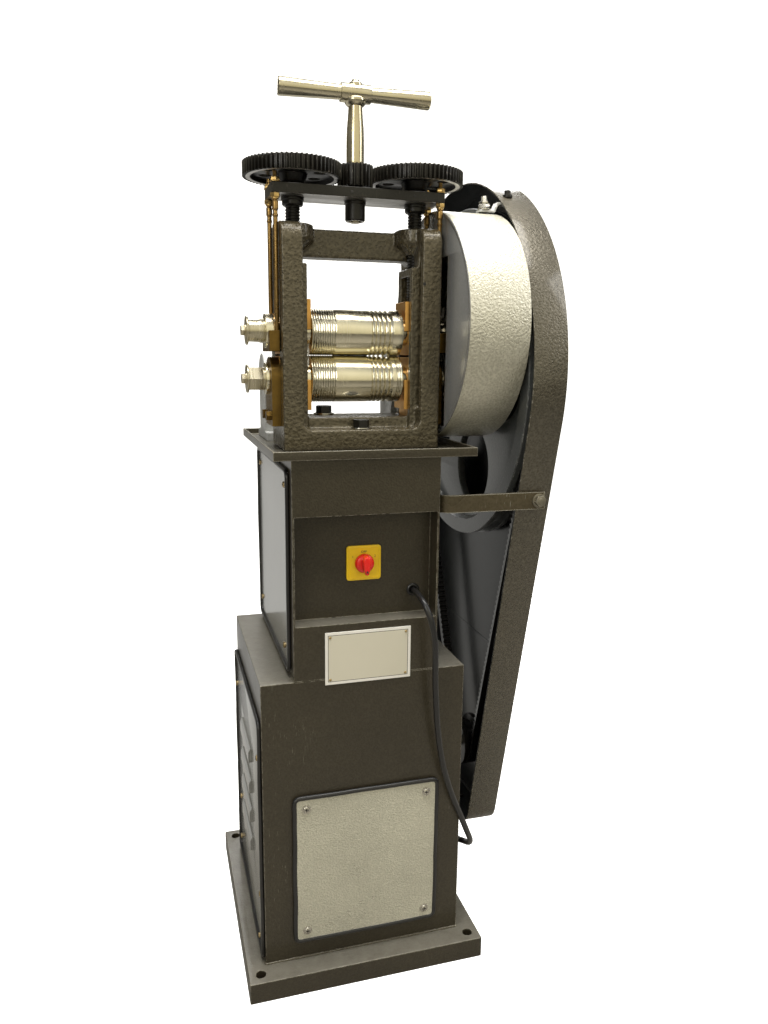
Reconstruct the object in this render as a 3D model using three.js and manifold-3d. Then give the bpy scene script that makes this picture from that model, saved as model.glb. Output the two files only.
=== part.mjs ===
// A motor driven jewellers rolling mill on a sheet metal pedestal, in millimetres, +Z up.
// While it is built, x = 0 is midway between the mill posts, y = 0 is the front of the cabinets
// and z = 0 is the floor. At the end the whole group is moved so that the origin lies on the floor
// under the middle of the object.
import * as THREE from 'three';
import { mergeVertices } from 'three/addons/utils/BufferGeometryUtils.js';
import Module from 'manifold-3d';

const wasm = await Module();
wasm.setup();

// Clearances and sheet
const fit = 0.3;
const sheet = 3;
const coverSheet = 2;

// Lower and upper cabinet
const lowerLeft = -155.5;
const lowerWidth = 286.5;
const lowerHeight = 419.5;
const upperLeft = -111;
const upperWidth = 200.5;
const upperHeight = 296.5;
const cabinetDepth = 297;
const ductMargin = 24;

// Base plate, which stands out round the lower cabinet
const baseMarginLeft = 26.5;
const baseMarginRight = 29;
const baseMarginFront = 33;
const baseMarginRear = 40;
const baseLeft = lowerLeft - baseMarginLeft;
const baseFront = -baseMarginFront;
const baseWidth = baseMarginLeft + lowerWidth + baseMarginRight;
const baseDepth = baseMarginFront + cabinetDepth + baseMarginRear;
const baseHeight = 31;
const anchorRadius = 7;
const anchorInset = 17;
const anchorLand = 47;

// Recess for the switch, measured up from the foot of the upper cabinet
const recessSill = 75.9;
const recessHeight = 146.6;
const recessDepth = 29;

// Switch and its lead
const switchX = -9;
const switchAboveSill = 75.3;
const switchSize = 48;
const switchPlateThickness = 4;
const switchBodySize = 40;
const switchBodyDepth = 42;
const knobRadius = 13.3;
const knobHeight = 19;
const knobGripWidth = 8;
const cableRadius = 4.25;
const cableX = 62.5;
const cableAboveSill = 31.8;
const grommetRadius = 9;
const grommetNeckRadius = 6.5;
const grommetLip = 3;
const glandRadius = 11;
const glandLength = 18;
const glandY = 72;
const glandAboveBase = 96;

// Name plate
const namePlateLeft = -68.6;
const namePlateWidth = 119.6;
const namePlateHeight = 73.4;
const namePlateBelowJoint = 8.1;
const namePlateThickness = 1;

// Front access panel, measured from the lower cabinet's left edge and foot
const accessLeft = 44.8;
const accessWidth = 201.7;
const accessAboveBase = 32.8;
const accessHeight = 216.2;
const trimWidth = 6;
const trimThickness = 3;

// Covers on the left side
const upperCoverFront = 19;
const upperCoverRearMargin = 6;
const upperCoverDepth = cabinetDepth - upperCoverFront - upperCoverRearMargin;
const upperCoverAboveFoot = 10;
const upperCoverTopMargin = 17.5;
const upperCoverHeight = upperHeight - upperCoverAboveFoot - upperCoverTopMargin;
const lowerCoverFront = 8;
const lowerCoverRearMargin = 7;
const lowerCoverDepth = cabinetDepth - lowerCoverFront - lowerCoverRearMargin;
const lowerCoverAboveBase = 6;
const lowerCoverTopMargin = 57.5;
const lowerCoverHeight = lowerHeight - lowerCoverAboveBase - lowerCoverTopMargin;
const louvreFront = 90;
const louvreLength = 108;
const louvreHeight = 20;
const louvreReach = 9;
const louvreSpacing = 46;
const louvreCount = 5;
const louvreFirst = 92;
const openingMargin = 22;

// Chip tray, which stands out round the upper cabinet
const trayMarginLeft = 23;
const trayMarginRight = 49.5;
const trayMarginFront = 5.5;
const trayMarginRear = 24;
const trayLeft = upperLeft - trayMarginLeft;
const trayFront = -trayMarginFront;
const trayWidth = trayMarginLeft + upperWidth + trayMarginRight;
const trayDepth = trayMarginFront + cabinetDepth + trayMarginRear;
const trayHeight = 11.6;

// Mill housing, heights above the tray floor
const millY = 115.3;
const postInner = 81;
const postThickness = 27.5;
const housingDepth = 101;
const housingHeight = 296;
const postCornerRadius = 22;
const bedHeight = 43;
const ledgeHeight = 28;
const ledgeDepth = 27;
const windowWidth = 40;
const windowBelowTop = 62;
const windowTop = housingHeight - windowBelowTop;
const padReach = 9;
const padMargin = 11;
const tieHeight = 37;
const tieBelowTop = 3;
const tieTop = housingHeight - tieBelowTop;
const tieBottom = tieTop - tieHeight;
const tieFront = 4;
const tieDepth = 30;
const bossRadius = 27;
const bossHeight = 20;
const bossTaper = 23;
const standOffRadius = 5;
const standOffMargin = 5;
const lowerStandOffSetBack = 15;

// Housing bolts
const boltRadius = 6;
const boltHeadRadius = 11.5;
const boltHeadHeight = 12.5;
const nutHeight = 9;
const frontBoltX = 1;
const frontBoltFromFront = 15.5;
const rearBoltX = -37;
const rearBoltFromRear = 16;

// Rolls
const rollRadius = 31.6;
const rollGap = 0.3;
const rollLeft = -65.4;
const rollLength = 127.1;
const lowerAxisAboveTray = 94.75;
const neckRadius = 18;
const blockWidth = 39.4;
const upperBlockBelow = 30.25;
const upperBlockAbove = 41.75;
const lowerBlockAbove = 30.25;
const flangeThickness = 5.7;
const flangeWidth = 46;
const upperFlangeBelow = -2.4;
const lowerFlangeBelow = 41.75;
const lowerFlangeAbove = -1;

// Saddles and neck plates outside the posts
const saddleGap = 1;
const saddleThickness = 14;
const saddleDrop = 27.3;
const saddleWidth = 67;
const upperCollarRadius = 23;
const upperCollarLength = 15.5;
const neckPlateThickness = 12;
const neckPlateRadius = 29;
const neckPlateDrop = 62.7;
const neckBoltRadius = 7;
const neckBoltLength = 7;
const neckBoltDrop = 48.7;
const neckBoltSpread = 17;
const lowerCollarRadius = 21.5;
const lowerCollarLength = 5;

// Roll extensions at the left end
const spoolLength = 22.5;
const upperSpoolRadius = 16;
const lowerSpoolRadius = 17;
const endWasherRadius = 19;
const endWasherThickness = 2.5;
const endBoltHeadRadius = 7.5;
const endBoltHeadHeight = 6.5;

// Roll setting gear on top, heights above the tray floor
const screwX = 85;
const screwThreadRadius = 10;
const screwShaftRadius = 9;
const screwGearTeeth = 63;
const pinionTeeth = 22;
const plateAboveHousing = 34;
const plateBottom = housingHeight + plateAboveHousing;
const plateThickness = 12.7;
const plateHalfLength = 117;
const plateWidth = 63;
const bushRadius = 15;
const bushDrop = 11;
const bushNeckRadius = 12.5;
const bushNeckRise = 4;
const centreBushRadius = 14.5;
const centreBushDrop = 26;
const centreNeckRadius = 11;
const screwGearAbovePlate = 10.8;
const screwGearRimBottom = plateBottom + plateThickness + screwGearAbovePlate;
const screwGearRimHeight = 17.9;
const screwGearRimInner = 56;
const screwGearWebHeight = 8;
const screwGearWebHoleRadius = 8;
const screwGearWebHoles = 6;
const screwGearWebHoleCircle = 38;
const screwGearHubRadius = 20;
const screwGearHubRise = 2.6;
const pinionHeight = 28;
const liftRodGap = 0.5;
const liftRodSpread = 26.4;
const liftRodRadius = 3;
const rodNutRadius = 6.5;
const rodNutHeight = 6;
const rodEndRise = 1.5;

// Handle
const handleShaftRadius = 8;
const handleTopRadius = 10;
const barAboveHousing = 168;
const barHeight = housingHeight + barAboveHousing;
const barEndEase = 1;
const shaftBelowBush = 2;
const barHalfLength = 102.3;
const barEndRadius = 11.3;
const barMiddleRadius = 8.5;
const barHubRadius = 14;
const barHubHalfLength = 20.5;
const nubRadius = 6;
const nubRise = 17;

// Gear train on the drive side
const coverY = 141;
const coverAboveTray = 168;
const coverRadius = 159;
const coverLeft = 118;
const coverWidth = 85;
const coverWallThickness = 3;
const coverMouthBelow = 30;
const coverMouthBelowTop = 36;
const coverMouthAbove = housingHeight - coverMouthBelowTop;
const coverMouthMargin = 12;
const couplingTeeth = 12;
const couplingGearLeft = 127;
const couplingGearWidth = 18;
const bullTeeth = 37;
const bullModule = 4;
const bullGearGap = 4;
const bullGearWidth = 20;
const intermediatePinionTeeth = 12;
const intermediateTeeth = 40;
const intermediateModule = 3;
const intermediateGearWidth = 16;
const drivePinionTeeth = 12;
const rollTailRadius = 15;

// Flywheel shaft and its brackets
const shaftY = 250.5;
const shaftRadius = 11;
const intermediateShaftRadius = 10;
const leftBracketLeft = -112;
const bracketThickness = 28;
const rightBracketLeft = 84;
const bearingHeadRadius = 34;
const intermediateHeadRadius = 24;
const bracketFootHeight = 12;
const bracketFootWidth = 96;
const bracketFootShare = 0.75;
const bracketWaistShare = 0.8;
const shaftOutOfBracket = 4;
const intermediateOutOfBracket = 2;

// Flywheel pulley, belt and motor
const flywheelLeft = 208.5;
const flywheelWidth = 35;
const flywheelRadius = 257;
const flywheelRim = 25;
const flywheelWeb = 12;
const flywheelHubRadius = 34;
const flywheelOpenings = 5;
const flywheelOpeningRadius = 62;
const flywheelOpeningCircle = 148;
const beltWidth = 16;
const beltThickness = 10;
const beltSink = 0.7;
const motorPulleyRadius = 42;
const motorPulleyWidth = 34;
const motorFromRear = 85;
const motorY = cabinetDepth - motorFromRear;
const motorAboveBase = 190;
const motorRadius = 70;
const motorLength = 205;
const motorShaftRadius = 9.5;
const motorFootWidth = 150;
const motorFootThickness = 10;
const motorWallHoleRadius = 40;

// Belt guard
const guardLeft = 208;
const guardWidth = 50;
const guardSheet = 2.5;
const guardBehindShaft = 14.5;
const guardAboveShaft = 9.25;
const guardClearance = 30;
const guardSlope = 0.2387;
const guardBottom = 90;
const guardBottomCorner = 38;
const strapBottom = 669;
const strapHeight = 24;
const strapThickness = 5;
const strapFrontFace = 2;
const strapBend = 22;
const strapEnd = 246;
const strapBoltX = 237;
const strapBoltRadius = 8;
const strapBoltHeight = 6;
const guardFootY = 230;
const guardFootDepth = 40;
const guardFootThickness = 5;
const guardFootFlange = 40;
const linkLeft = 178;
const linkWidth = 15;
const linkThickness = 3;
const linkY = 114;
const linkStudX = 187;
const linkStudRadius = 4;
const linkStudHeight = 19;
const linkNutRadius = 7.5;
const linkNutHeight = 6;
const linkBoltX = 222;
const linkBend = 2;

// Heights and places worked out from the sizes above
const lowerTop = baseHeight + lowerHeight;
const upperTop = lowerTop + upperHeight;
const lowerRight = lowerLeft + lowerWidth;
const upperRight = upperLeft + upperWidth;
const trayFloor = upperTop + sheet;
const lowerAxis = trayFloor + lowerAxisAboveTray;
const rollDistance = 2 * rollRadius + rollGap;
const upperAxis = lowerAxis + rollDistance;
const rollRight = rollLeft + rollLength;
const postOuter = postInner + postThickness;
const housingFront = millY - housingDepth / 2;
const housingRear = millY + housingDepth / 2;
const padFace = postInner - padReach;
const sillTop = lowerTop + recessSill;
const recessTop = sillTop + recessHeight;
const switchZ = sillTop + switchAboveSill;
const cableZ = sillTop + cableAboveSill;
const glandZ = baseHeight + glandAboveBase;
const plateZ = trayFloor + plateBottom;
const plateTop = plateZ + plateThickness;
const coverZ = trayFloor + coverAboveTray;
const coverRight = coverLeft + coverWidth;
const shaftZ = lowerAxis;
const guardY = shaftY + guardBehindShaft;
const guardZ = shaftZ + guardAboveShaft;
const guardRadius = flywheelRadius + guardClearance;
const motorZ = baseHeight + motorAboveBase;
const guardRight = guardLeft + guardWidth;
const beltX = flywheelLeft + flywheelWidth / 2;
const screwGearRadius = screwX * screwGearTeeth / (screwGearTeeth + pinionTeeth);
const pinionRadius = screwX - screwGearRadius;
const bullRadius = bullTeeth * bullModule / 2;
const intermediatePinionRadius = intermediatePinionTeeth * bullModule / 2;
const intermediateRadius = intermediateTeeth * intermediateModule / 2;
const drivePinionRadius = drivePinionTeeth * intermediateModule / 2;
const bullGearLeft = couplingGearLeft + couplingGearWidth + bullGearGap;
const intermediateGearLeft = bullGearLeft + bullGearWidth + bullGearGap;
const saddleLeft = postOuter + saddleGap;
const liftRodX = postOuter + liftRodGap + liftRodRadius;

// The intermediate shaft lies where both of its gear pairs are in mesh
const toBull = bullRadius + intermediatePinionRadius;
const toDrive = intermediateRadius + drivePinionRadius;
const shaftSpan = shaftY - millY;
const intermediateReach = (shaftSpan ** 2 + toBull ** 2 - toDrive ** 2) / (2 * shaftSpan);
const intermediateY = millY + intermediateReach;
const intermediateZ = shaftZ + Math.sqrt(toBull ** 2 - intermediateReach ** 2);

// Finishes
const paint = { color: 0x4b4434, roughness: 0.7, metalness: 0.1 };
const silverPaint = { color: 0xb4b2a8, roughness: 0.45, metalness: 0.3 };
const greyPaint = { color: 0x8f918d, roughness: 0.5, metalness: 0.1 };
const castIron = { color: 0x4a4537, roughness: 0.8, metalness: 0.2 };
const blackSteel = { color: 0x1c1b1a, roughness: 0.45, metalness: 0.7 };
const steel = { color: 0xb9b7b0, roughness: 0.3, metalness: 0.9 };
const brass = { color: 0xb08a3e, roughness: 0.35, metalness: 0.9 };
const rubber = { color: 0x161616, roughness: 0.9, metalness: 0 };
const cream = { color: 0xd9d2b8, roughness: 0.5, metalness: 0.1 };
const yellow = { color: 0xe2c21c, roughness: 0.4, metalness: 0 };
const red = { color: 0xb3201a, roughness: 0.4, metalness: 0 };

// Turns a closed three.js geometry into a solid that can be joined or cut
function toSolid(geometry) {
  const bare = geometry.clone();
  bare.deleteAttribute('normal');
  bare.deleteAttribute('uv');
  const merged = mergeVertices(bare);
  return new wasm.Manifold(new wasm.Mesh({
    numProp: 3,
    vertProperties: new Float32Array(merged.attributes.position.array),
    triVerts: new Uint32Array(merged.index.array),
  }));
}

function toGeometry(solid) {
  const mesh = solid.getMesh();
  const geometry = new THREE.BufferGeometry();
  geometry.setAttribute('position', new THREE.BufferAttribute(new Float32Array(mesh.vertProperties), 3));
  geometry.setIndex(new THREE.BufferAttribute(new Uint32Array(mesh.triVerts), 1));
  geometry.computeVertexNormals();
  return geometry;
}

function join(...pieces) {
  return toGeometry(pieces.map(toSolid).reduce((whole, piece) => whole.add(piece)));
}

function cut(body, ...tools) {
  return toGeometry(tools.map(toSolid).reduce((rest, tool) => rest.subtract(tool), toSolid(body)));
}

function block(x0, x1, y0, y1, z0, z1) {
  const geometry = new THREE.BoxGeometry(x1 - x0, y1 - y0, z1 - z0);
  return geometry.translate((x0 + x1) / 2, (y0 + y1) / 2, (z0 + z1) / 2);
}

// Flat outlines. Along x they are drawn in y and z, along y in x and z, along z in x and y.
function outline(points) {
  return new THREE.Shape(points.map(([a, b]) => new THREE.Vector2(a, b)));
}

function rectangle(a0, a1, b0, b1) {
  return outline([[a0, b0], [a1, b0], [a1, b1], [a0, b1]]);
}

function circle(radius, a = 0, b = 0) {
  const shape = new THREE.Shape();
  shape.absarc(a, b, radius, 0, 2 * Math.PI);
  return shape;
}

function hexagon(cornerRadius, a = 0, b = 0, turn = 0) {
  const corners = [0, 1, 2, 3, 4, 5].map((corner) => turn + corner * Math.PI / 3);
  return outline(corners.map((angle) => [
    a + cornerRadius * Math.cos(angle),
    b + cornerRadius * Math.sin(angle),
  ]));
}

function withHoles(shape, ...holes) {
  shape.holes.push(...holes);
  return shape;
}

const alongX = new THREE.Matrix4().makeBasis(
  new THREE.Vector3(0, 1, 0),
  new THREE.Vector3(0, 0, 1),
  new THREE.Vector3(1, 0, 0),
);

function extrude(axis, shape, from, to, sides = 16) {
  const settings = { depth: to - from, bevelEnabled: false, curveSegments: sides / 2 };
  const geometry = new THREE.ExtrudeGeometry(shape, settings);
  if (axis === 'x') return geometry.translate(0, 0, from).applyMatrix4(alongX);
  if (axis === 'y') return geometry.translate(0, 0, -to).rotateX(Math.PI / 2);
  return geometry.translate(0, 0, from);
}

function rod(axis, radius, from, to, a = 0, b = 0, sides = 16) {
  return extrude(axis, circle(radius, a, b), from, to, sides);
}

function ring(axis, outer, inner, from, to, a = 0, b = 0, sides = 16) {
  return extrude(axis, withHoles(circle(outer, a, b), circle(inner, a, b)), from, to, sides);
}

// A turned piece from pairs of distance along its axis and radius
function turned(axis, profile, sides = 32) {
  const points = profile.map(([along, radius]) => new THREE.Vector2(radius, along));
  const geometry = new THREE.LatheGeometry(points, sides);
  if (axis === 'x') return geometry.rotateZ(-Math.PI / 2);
  return geometry.rotateX(Math.PI / 2);
}

// A spur gear outline with one tooth, or one gap, pointing along the given angle
const toothRootHalf = 0.3;
const toothTipHalf = 0.12;
const dedendum = 1.25;

function gearOutline(teeth, pitchRadius, bore, angle, startsWith) {
  const toothSize = 2 * pitchRadius / teeth;
  const pitch = 2 * Math.PI / teeth;
  const first = startsWith === 'gap' ? angle + pitch / 2 : angle;
  const points = [];
  const place = (turn, radius) => points.push([radius * Math.cos(turn), radius * Math.sin(turn)]);
  for (let tooth = 0; tooth < teeth; tooth += 1) {
    const middle = first + tooth * pitch;
    place(middle - toothRootHalf * pitch, pitchRadius - dedendum * toothSize);
    place(middle - toothTipHalf * pitch, pitchRadius + toothSize);
    place(middle + toothTipHalf * pitch, pitchRadius + toothSize);
    place(middle + toothRootHalf * pitch, pitchRadius - dedendum * toothSize);
  }
  return withHoles(outline(points), circle(bore));
}

function addPiece(parent, name, geometry, finish, x = 0, y = 0, z = 0) {
  const mesh = new THREE.Mesh(geometry, new THREE.MeshStandardMaterial(finish));
  mesh.name = name;
  mesh.position.set(x, y, z);
  parent.add(mesh);
  return mesh;
}

// Base plate with an anchor hole near each corner
function basePlate() {
  const right = baseLeft + baseWidth;
  const rear = baseFront + baseDepth;
  const shape = outline([
    [baseLeft, baseFront], [baseLeft + anchorLand, baseFront],
    [right - anchorLand, baseFront], [right, baseFront],
    [right, baseFront + anchorLand], [right, rear - anchorLand], [right, rear],
    [right - anchorLand, rear], [baseLeft + anchorLand, rear], [baseLeft, rear],
    [baseLeft, rear - anchorLand], [baseLeft, baseFront + anchorLand],
  ]);
  for (const x of [baseLeft + anchorInset, right - anchorInset]) {
    for (const y of [baseFront + anchorInset, rear - anchorInset]) {
      shape.holes.push(circle(anchorRadius, x, y));
    }
  }
  return extrude('z', shape, 0, baseHeight, 16);
}

// Lower cabinet: open below, with openings behind the front panel and the louvred cover
function lowerCabinet() {
  const panelLeft = lowerLeft + accessLeft;
  const panelBottom = baseHeight + accessAboveBase;
  const coverBottom = baseHeight + lowerCoverAboveBase;
  return cut(
    block(lowerLeft, lowerRight, 0, cabinetDepth, baseHeight, lowerTop),
    block(
      lowerLeft + sheet, lowerRight - sheet, sheet, cabinetDepth - sheet, baseHeight - sheet, lowerTop - sheet,
    ),
    block(
      panelLeft + openingMargin, panelLeft + accessWidth - openingMargin, -sheet, 2 * sheet,
      panelBottom + openingMargin, panelBottom + accessHeight - openingMargin,
    ),
    block(
      lowerLeft - sheet, lowerLeft + 2 * sheet,
      lowerCoverFront + openingMargin, lowerCoverFront + lowerCoverDepth - openingMargin,
      coverBottom + openingMargin, coverBottom + lowerCoverHeight - openingMargin,
    ),
    block(
      upperLeft + ductMargin, upperRight - ductMargin, recessDepth + ductMargin, cabinetDepth - ductMargin,
      lowerTop - 2 * sheet, lowerTop + sheet,
    ),
    rod('x', motorWallHoleRadius, lowerRight - 2 * sheet, lowerRight + sheet, motorY, motorZ, 32),
    rod('x', glandRadius / 2 + fit, lowerRight - 2 * sheet, lowerRight + sheet, glandY, glandZ, 16),
  );
}

// Upper cabinet: open below, with the recess for the switch across its front
function upperCabinet() {
  const coverBottom = lowerTop + upperCoverAboveFoot;
  const inLeft = upperLeft + sheet;
  const inRight = upperRight - sheet;
  const inRear = cabinetDepth - sheet;
  const panelRear = recessDepth + sheet;
  const bodyHalf = switchBodySize / 2 + fit;
  return cut(
    block(upperLeft, upperRight, 0, cabinetDepth, lowerTop, upperTop),
    block(inLeft, inRight, panelRear, inRear, lowerTop - sheet, upperTop - sheet),
    block(inLeft, inRight, -sheet, recessDepth, sillTop, recessTop),
    block(inLeft, inRight, sheet, panelRear + sheet, lowerTop - sheet, sillTop - sheet),
    block(inLeft, inRight, sheet, panelRear + sheet, recessTop + sheet, upperTop - sheet),
    block(
      upperLeft - sheet, upperLeft + 2 * sheet,
      upperCoverFront + openingMargin, upperCoverFront + upperCoverDepth - openingMargin,
      coverBottom + openingMargin, coverBottom + upperCoverHeight - openingMargin,
    ),
    block(
      switchX - bodyHalf, switchX + bodyHalf, recessDepth - sheet, panelRear + sheet,
      switchZ - bodyHalf, switchZ + bodyHalf,
    ),
    rod('y', grommetNeckRadius + fit, recessDepth - sheet, panelRear + sheet, cableX, cableZ, 16),
    ...housingBoltPlaces().map(([x, y]) => (
      rod('z', boltRadius + fit, upperTop - 2 * sheet, upperTop + sheet, x, y, 12)
    )),
  );
}

// A rubber edge strip with the cover's opening left free
function edgeStrip(axis, a0, a1, b0, b1, from, to) {
  const frame = rectangle(a0 - trimWidth, a1 + trimWidth, b0 - trimWidth, b1 + trimWidth);
  const middle = rectangle(a0 + trimWidth, a1 - trimWidth, b0 + trimWidth, b1 - trimWidth);
  return extrude(axis, withHoles(frame, middle), from, to);
}

function addFrontPanel(parent) {
  const left = lowerLeft + accessLeft;
  const right = left + accessWidth;
  const bottom = baseHeight + accessAboveBase;
  const top = bottom + accessHeight;
  addPiece(parent, 'front_panel_trim', edgeStrip('y', left, right, bottom, top, -trimThickness, 0), rubber);
  const panel = block(left, right, -trimThickness - coverSheet, -trimThickness, bottom, top);
  addPiece(parent, 'front_access_panel', panel, silverPaint);
}

function upperSideCover() {
  const bottom = lowerTop + upperCoverAboveFoot;
  return block(
    upperLeft - coverSheet, upperLeft,
    upperCoverFront, upperCoverFront + upperCoverDepth, bottom, bottom + upperCoverHeight,
  );
}

// Louvred cover: pressed hoods, open downwards and closed at their ends
function lowerSideCover() {
  const bottom = baseHeight + lowerCoverAboveBase;
  const inner = lowerLeft;
  const outer = inner - coverSheet;
  const plate = block(
    outer, inner, lowerCoverFront, lowerCoverFront + lowerCoverDepth, bottom, bottom + lowerCoverHeight,
  );
  const hoods = [];
  const slots = [];
  for (let louvre = 0; louvre < louvreCount; louvre += 1) {
    const low = bottom + louvreFirst + louvre * louvreSpacing;
    const high = low + louvreHeight;
    const hood = (grow) => new THREE.Shape([
      new THREE.Vector2(inner + grow * coverSheet, low - grow * coverSheet),
      new THREE.Vector2(outer, high - grow * coverSheet),
      new THREE.Vector2(outer - louvreReach + grow * coverSheet, low - grow * coverSheet),
    ].reverse());
    hoods.push(extrude('y', hood(0), louvreFront, louvreFront + louvreLength));
    slots.push(extrude('y', hood(1), louvreFront + coverSheet, louvreFront + louvreLength - coverSheet));
  }
  return cut(join(plate, ...hoods), ...slots);
}

function chipTray() {
  const right = trayLeft + trayWidth;
  const rear = trayFront + trayDepth;
  return cut(
    block(trayLeft, right, trayFront, rear, upperTop, upperTop + trayHeight),
    block(trayLeft + sheet, right - sheet, trayFront + sheet, rear - sheet, trayFloor, trayFloor + trayHeight),
    ...housingBoltPlaces().map(([x, y]) => (
      rod('z', boltRadius + fit, upperTop - sheet, trayFloor + sheet, x, y, 12)
    )),
  );
}

// Places of the bolts through housing, tray and cabinet top, with the height of the bed there
function housingBoltPlaces() {
  return [
    [frontBoltX, housingFront + frontBoltFromFront, trayFloor + ledgeHeight],
    [rearBoltX, housingRear - rearBoltFromRear, trayFloor + bedHeight],
  ];
}

function housingBolt([x, y, seat]) {
  const nutTop = upperTop - sheet;
  return join(
    extrude('z', hexagon(boltHeadRadius, x, y), seat, seat + boltHeadHeight),
    rod('z', boltRadius, nutTop - nutHeight - fit, seat + fit, x, y, 12),
    extrude('z', hexagon(boltHeadRadius, x, y), nutTop - nutHeight, nutTop),
  );
}

// One casting: posts with windows for the bearing blocks, bed, top tie and screw bosses
function millHousing() {
  const top = trayFloor + housingHeight;
  const windowFloor = trayFloor + bedHeight;
  const windowCeiling = trayFloor + windowTop;
  const half = windowWidth / 2;
  const post = (inner, outer) => {
    const shape = new THREE.Shape();
    shape.moveTo(housingFront, trayFloor);
    shape.lineTo(housingRear, trayFloor);
    shape.lineTo(housingRear, top - postCornerRadius);
    shape.absarc(housingRear - postCornerRadius, top - postCornerRadius, postCornerRadius, 0, Math.PI / 2);
    shape.absarc(
      housingFront + postCornerRadius, top - postCornerRadius, postCornerRadius, Math.PI / 2, Math.PI,
    );
    return extrude('x', shape, inner, outer, 12);
  };
  const pads = (inner, outer) => block(
    inner, outer, millY - half - padMargin, millY + half + padMargin, trayFloor, windowCeiling + padMargin,
  );
  const boss = (x) => turned('z', [
    [top - bossHeight - bossTaper, 0],
    [top - bossHeight, bossRadius],
    [top, bossRadius],
    [top, 0],
  ], 24).translate(x, millY, 0);
  const bed = extrude('x', outline([
    [housingFront, trayFloor],
    [housingRear, trayFloor],
    [housingRear, windowFloor],
    [housingFront + ledgeDepth, windowFloor],
    [housingFront + ledgeDepth, trayFloor + ledgeHeight],
    [housingFront, trayFloor + ledgeHeight],
  ]), -postInner - 1, postInner + 1);
  const tie = block(
    -postInner - 1, postInner + 1, millY + tieFront, millY + tieFront + tieDepth,
    trayFloor + tieBottom, trayFloor + tieTop,
  );
  const standOffs = standOffPlaces().map(([y, z]) => (
    rod('x', standOffRadius, postOuter - 1, coverLeft, y, z, 12)
  ));
  const window = (inner, outer) => block(inner, outer, millY - half, millY + half, windowFloor, windowCeiling);
  return cut(
    join(
      post(-postOuter, -postInner), post(postInner, postOuter),
      pads(-postInner - 1, -padFace), pads(padFace, postInner + 1),
      boss(-screwX), boss(screwX), bed, tie, ...standOffs,
    ),
    window(-postOuter - bossRadius, -padFace + 1), window(padFace - 1, postOuter + fit),
    ...[-screwX, screwX].map((x) => rod('z', screwThreadRadius + fit, windowCeiling - 1, top + 1, x, millY)),
    ...housingBoltPlaces().map(([x, y, seat]) => rod('z', boltRadius + fit, trayFloor - 1, seat + 1, x, y, 12)),
  );
}

// Stand-offs between the right post and the gear cover, above and below the cover's mouth
function standOffPlaces() {
  const below = coverZ - coverRadius + coverWallThickness + standOffRadius + standOffMargin;
  const above = trayFloor + coverMouthAbove + standOffRadius + coverWallThickness + 1;
  return [[millY + lowerStandOffSetBack, below], [millY, above]];
}

// Bearing block in a post's window with a thrust flange on its inner side
function bearingBlock(side, axis, below, above, flangeBelow, flangeAbove) {
  const faces = [side * (padFace + fit), side * postOuter].sort((a, b) => a - b);
  const flange = [side * (padFace - fit), side * (padFace - fit - flangeThickness)].sort((a, b) => a - b);
  const half = blockWidth / 2;
  const neck = [side * padFace, side * (padFace - 1)].sort((a, b) => a - b);
  return cut(
    join(
      block(faces[0], faces[1], millY - half, millY + half, axis - below, axis + above),
      block(neck[0] - fit, neck[1] + fit, millY - half, millY + half, axis - flangeBelow, axis + flangeAbove),
      block(
        flange[0], flange[1], millY - flangeWidth / 2, millY + flangeWidth / 2,
        axis - flangeBelow, axis + flangeAbove,
      ),
    ),
    rod('x', neckRadius + fit, -postOuter - 1, postOuter + 1, millY, axis, 24),
  );
}

// Saddle under the upper roll's neck, hung on two rods
function saddle(side) {
  const faces = [side * saddleLeft, side * (saddleLeft + saddleThickness)].sort((a, b) => a - b);
  return cut(
    block(
      faces[0], faces[1], millY - saddleWidth / 2, millY + saddleWidth / 2, upperAxis - saddleDrop, upperAxis,
    ),
    rod('x', upperCollarRadius + fit, faces[0] - 1, faces[1] + 1, millY, upperAxis, 24),
  );
}

// Plate round the lower roll's neck with two bolts into the post
function neckPlate(side) {
  const faces = [side * postOuter, side * (postOuter + neckPlateThickness)].sort((a, b) => a - b);
  const heads = [
    side * (postOuter + neckPlateThickness - 1),
    side * (postOuter + neckPlateThickness + neckBoltLength),
  ].sort((a, b) => a - b);
  const shape = new THREE.Shape();
  shape.moveTo(millY - neckPlateRadius, lowerAxis - neckPlateDrop);
  shape.lineTo(millY + neckPlateRadius, lowerAxis - neckPlateDrop);
  shape.absarc(millY, lowerAxis, neckPlateRadius, 0, Math.PI);
  const bored = withHoles(shape, circle(neckRadius + fit, millY, lowerAxis));
  const plate = extrude('x', bored, faces[0], faces[1], 24);
  const boltZ = lowerAxis - neckBoltDrop;
  const bolts = side < 0
    ? [-neckBoltSpread, neckBoltSpread].map((y) => (
      extrude('x', hexagon(neckBoltRadius, millY + y, boltZ), ...heads)
    ))
    : [];
  return join(plate, ...bolts);
}

// Rolls turn on the x axis. The left end carries a collar, the right end runs on to the gears.
function rollProfile(collarRadius, collarStart, collarLength, tailEnd) {
  const left = -(collarStart + collarLength);
  return [
    [left, 0],
    [left, collarRadius],
    [-collarStart, collarRadius],
    [-collarStart, neckRadius],
    [rollLeft, neckRadius],
    [rollLeft, rollRadius],
    [rollRight, rollRadius],
    [rollRight, neckRadius],
    [collarStart, neckRadius],
    [collarStart, collarRadius],
    [collarStart + collarLength, collarRadius],
    [collarStart + collarLength, rollTailRadius],
    [tailEnd, rollTailRadius],
    [tailEnd, 0],
  ];
}

function upperRoll() {
  return turned('x', rollProfile(
    upperCollarRadius, saddleLeft + fit, upperCollarLength, couplingGearLeft + couplingGearWidth,
  ), 40);
}

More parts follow.
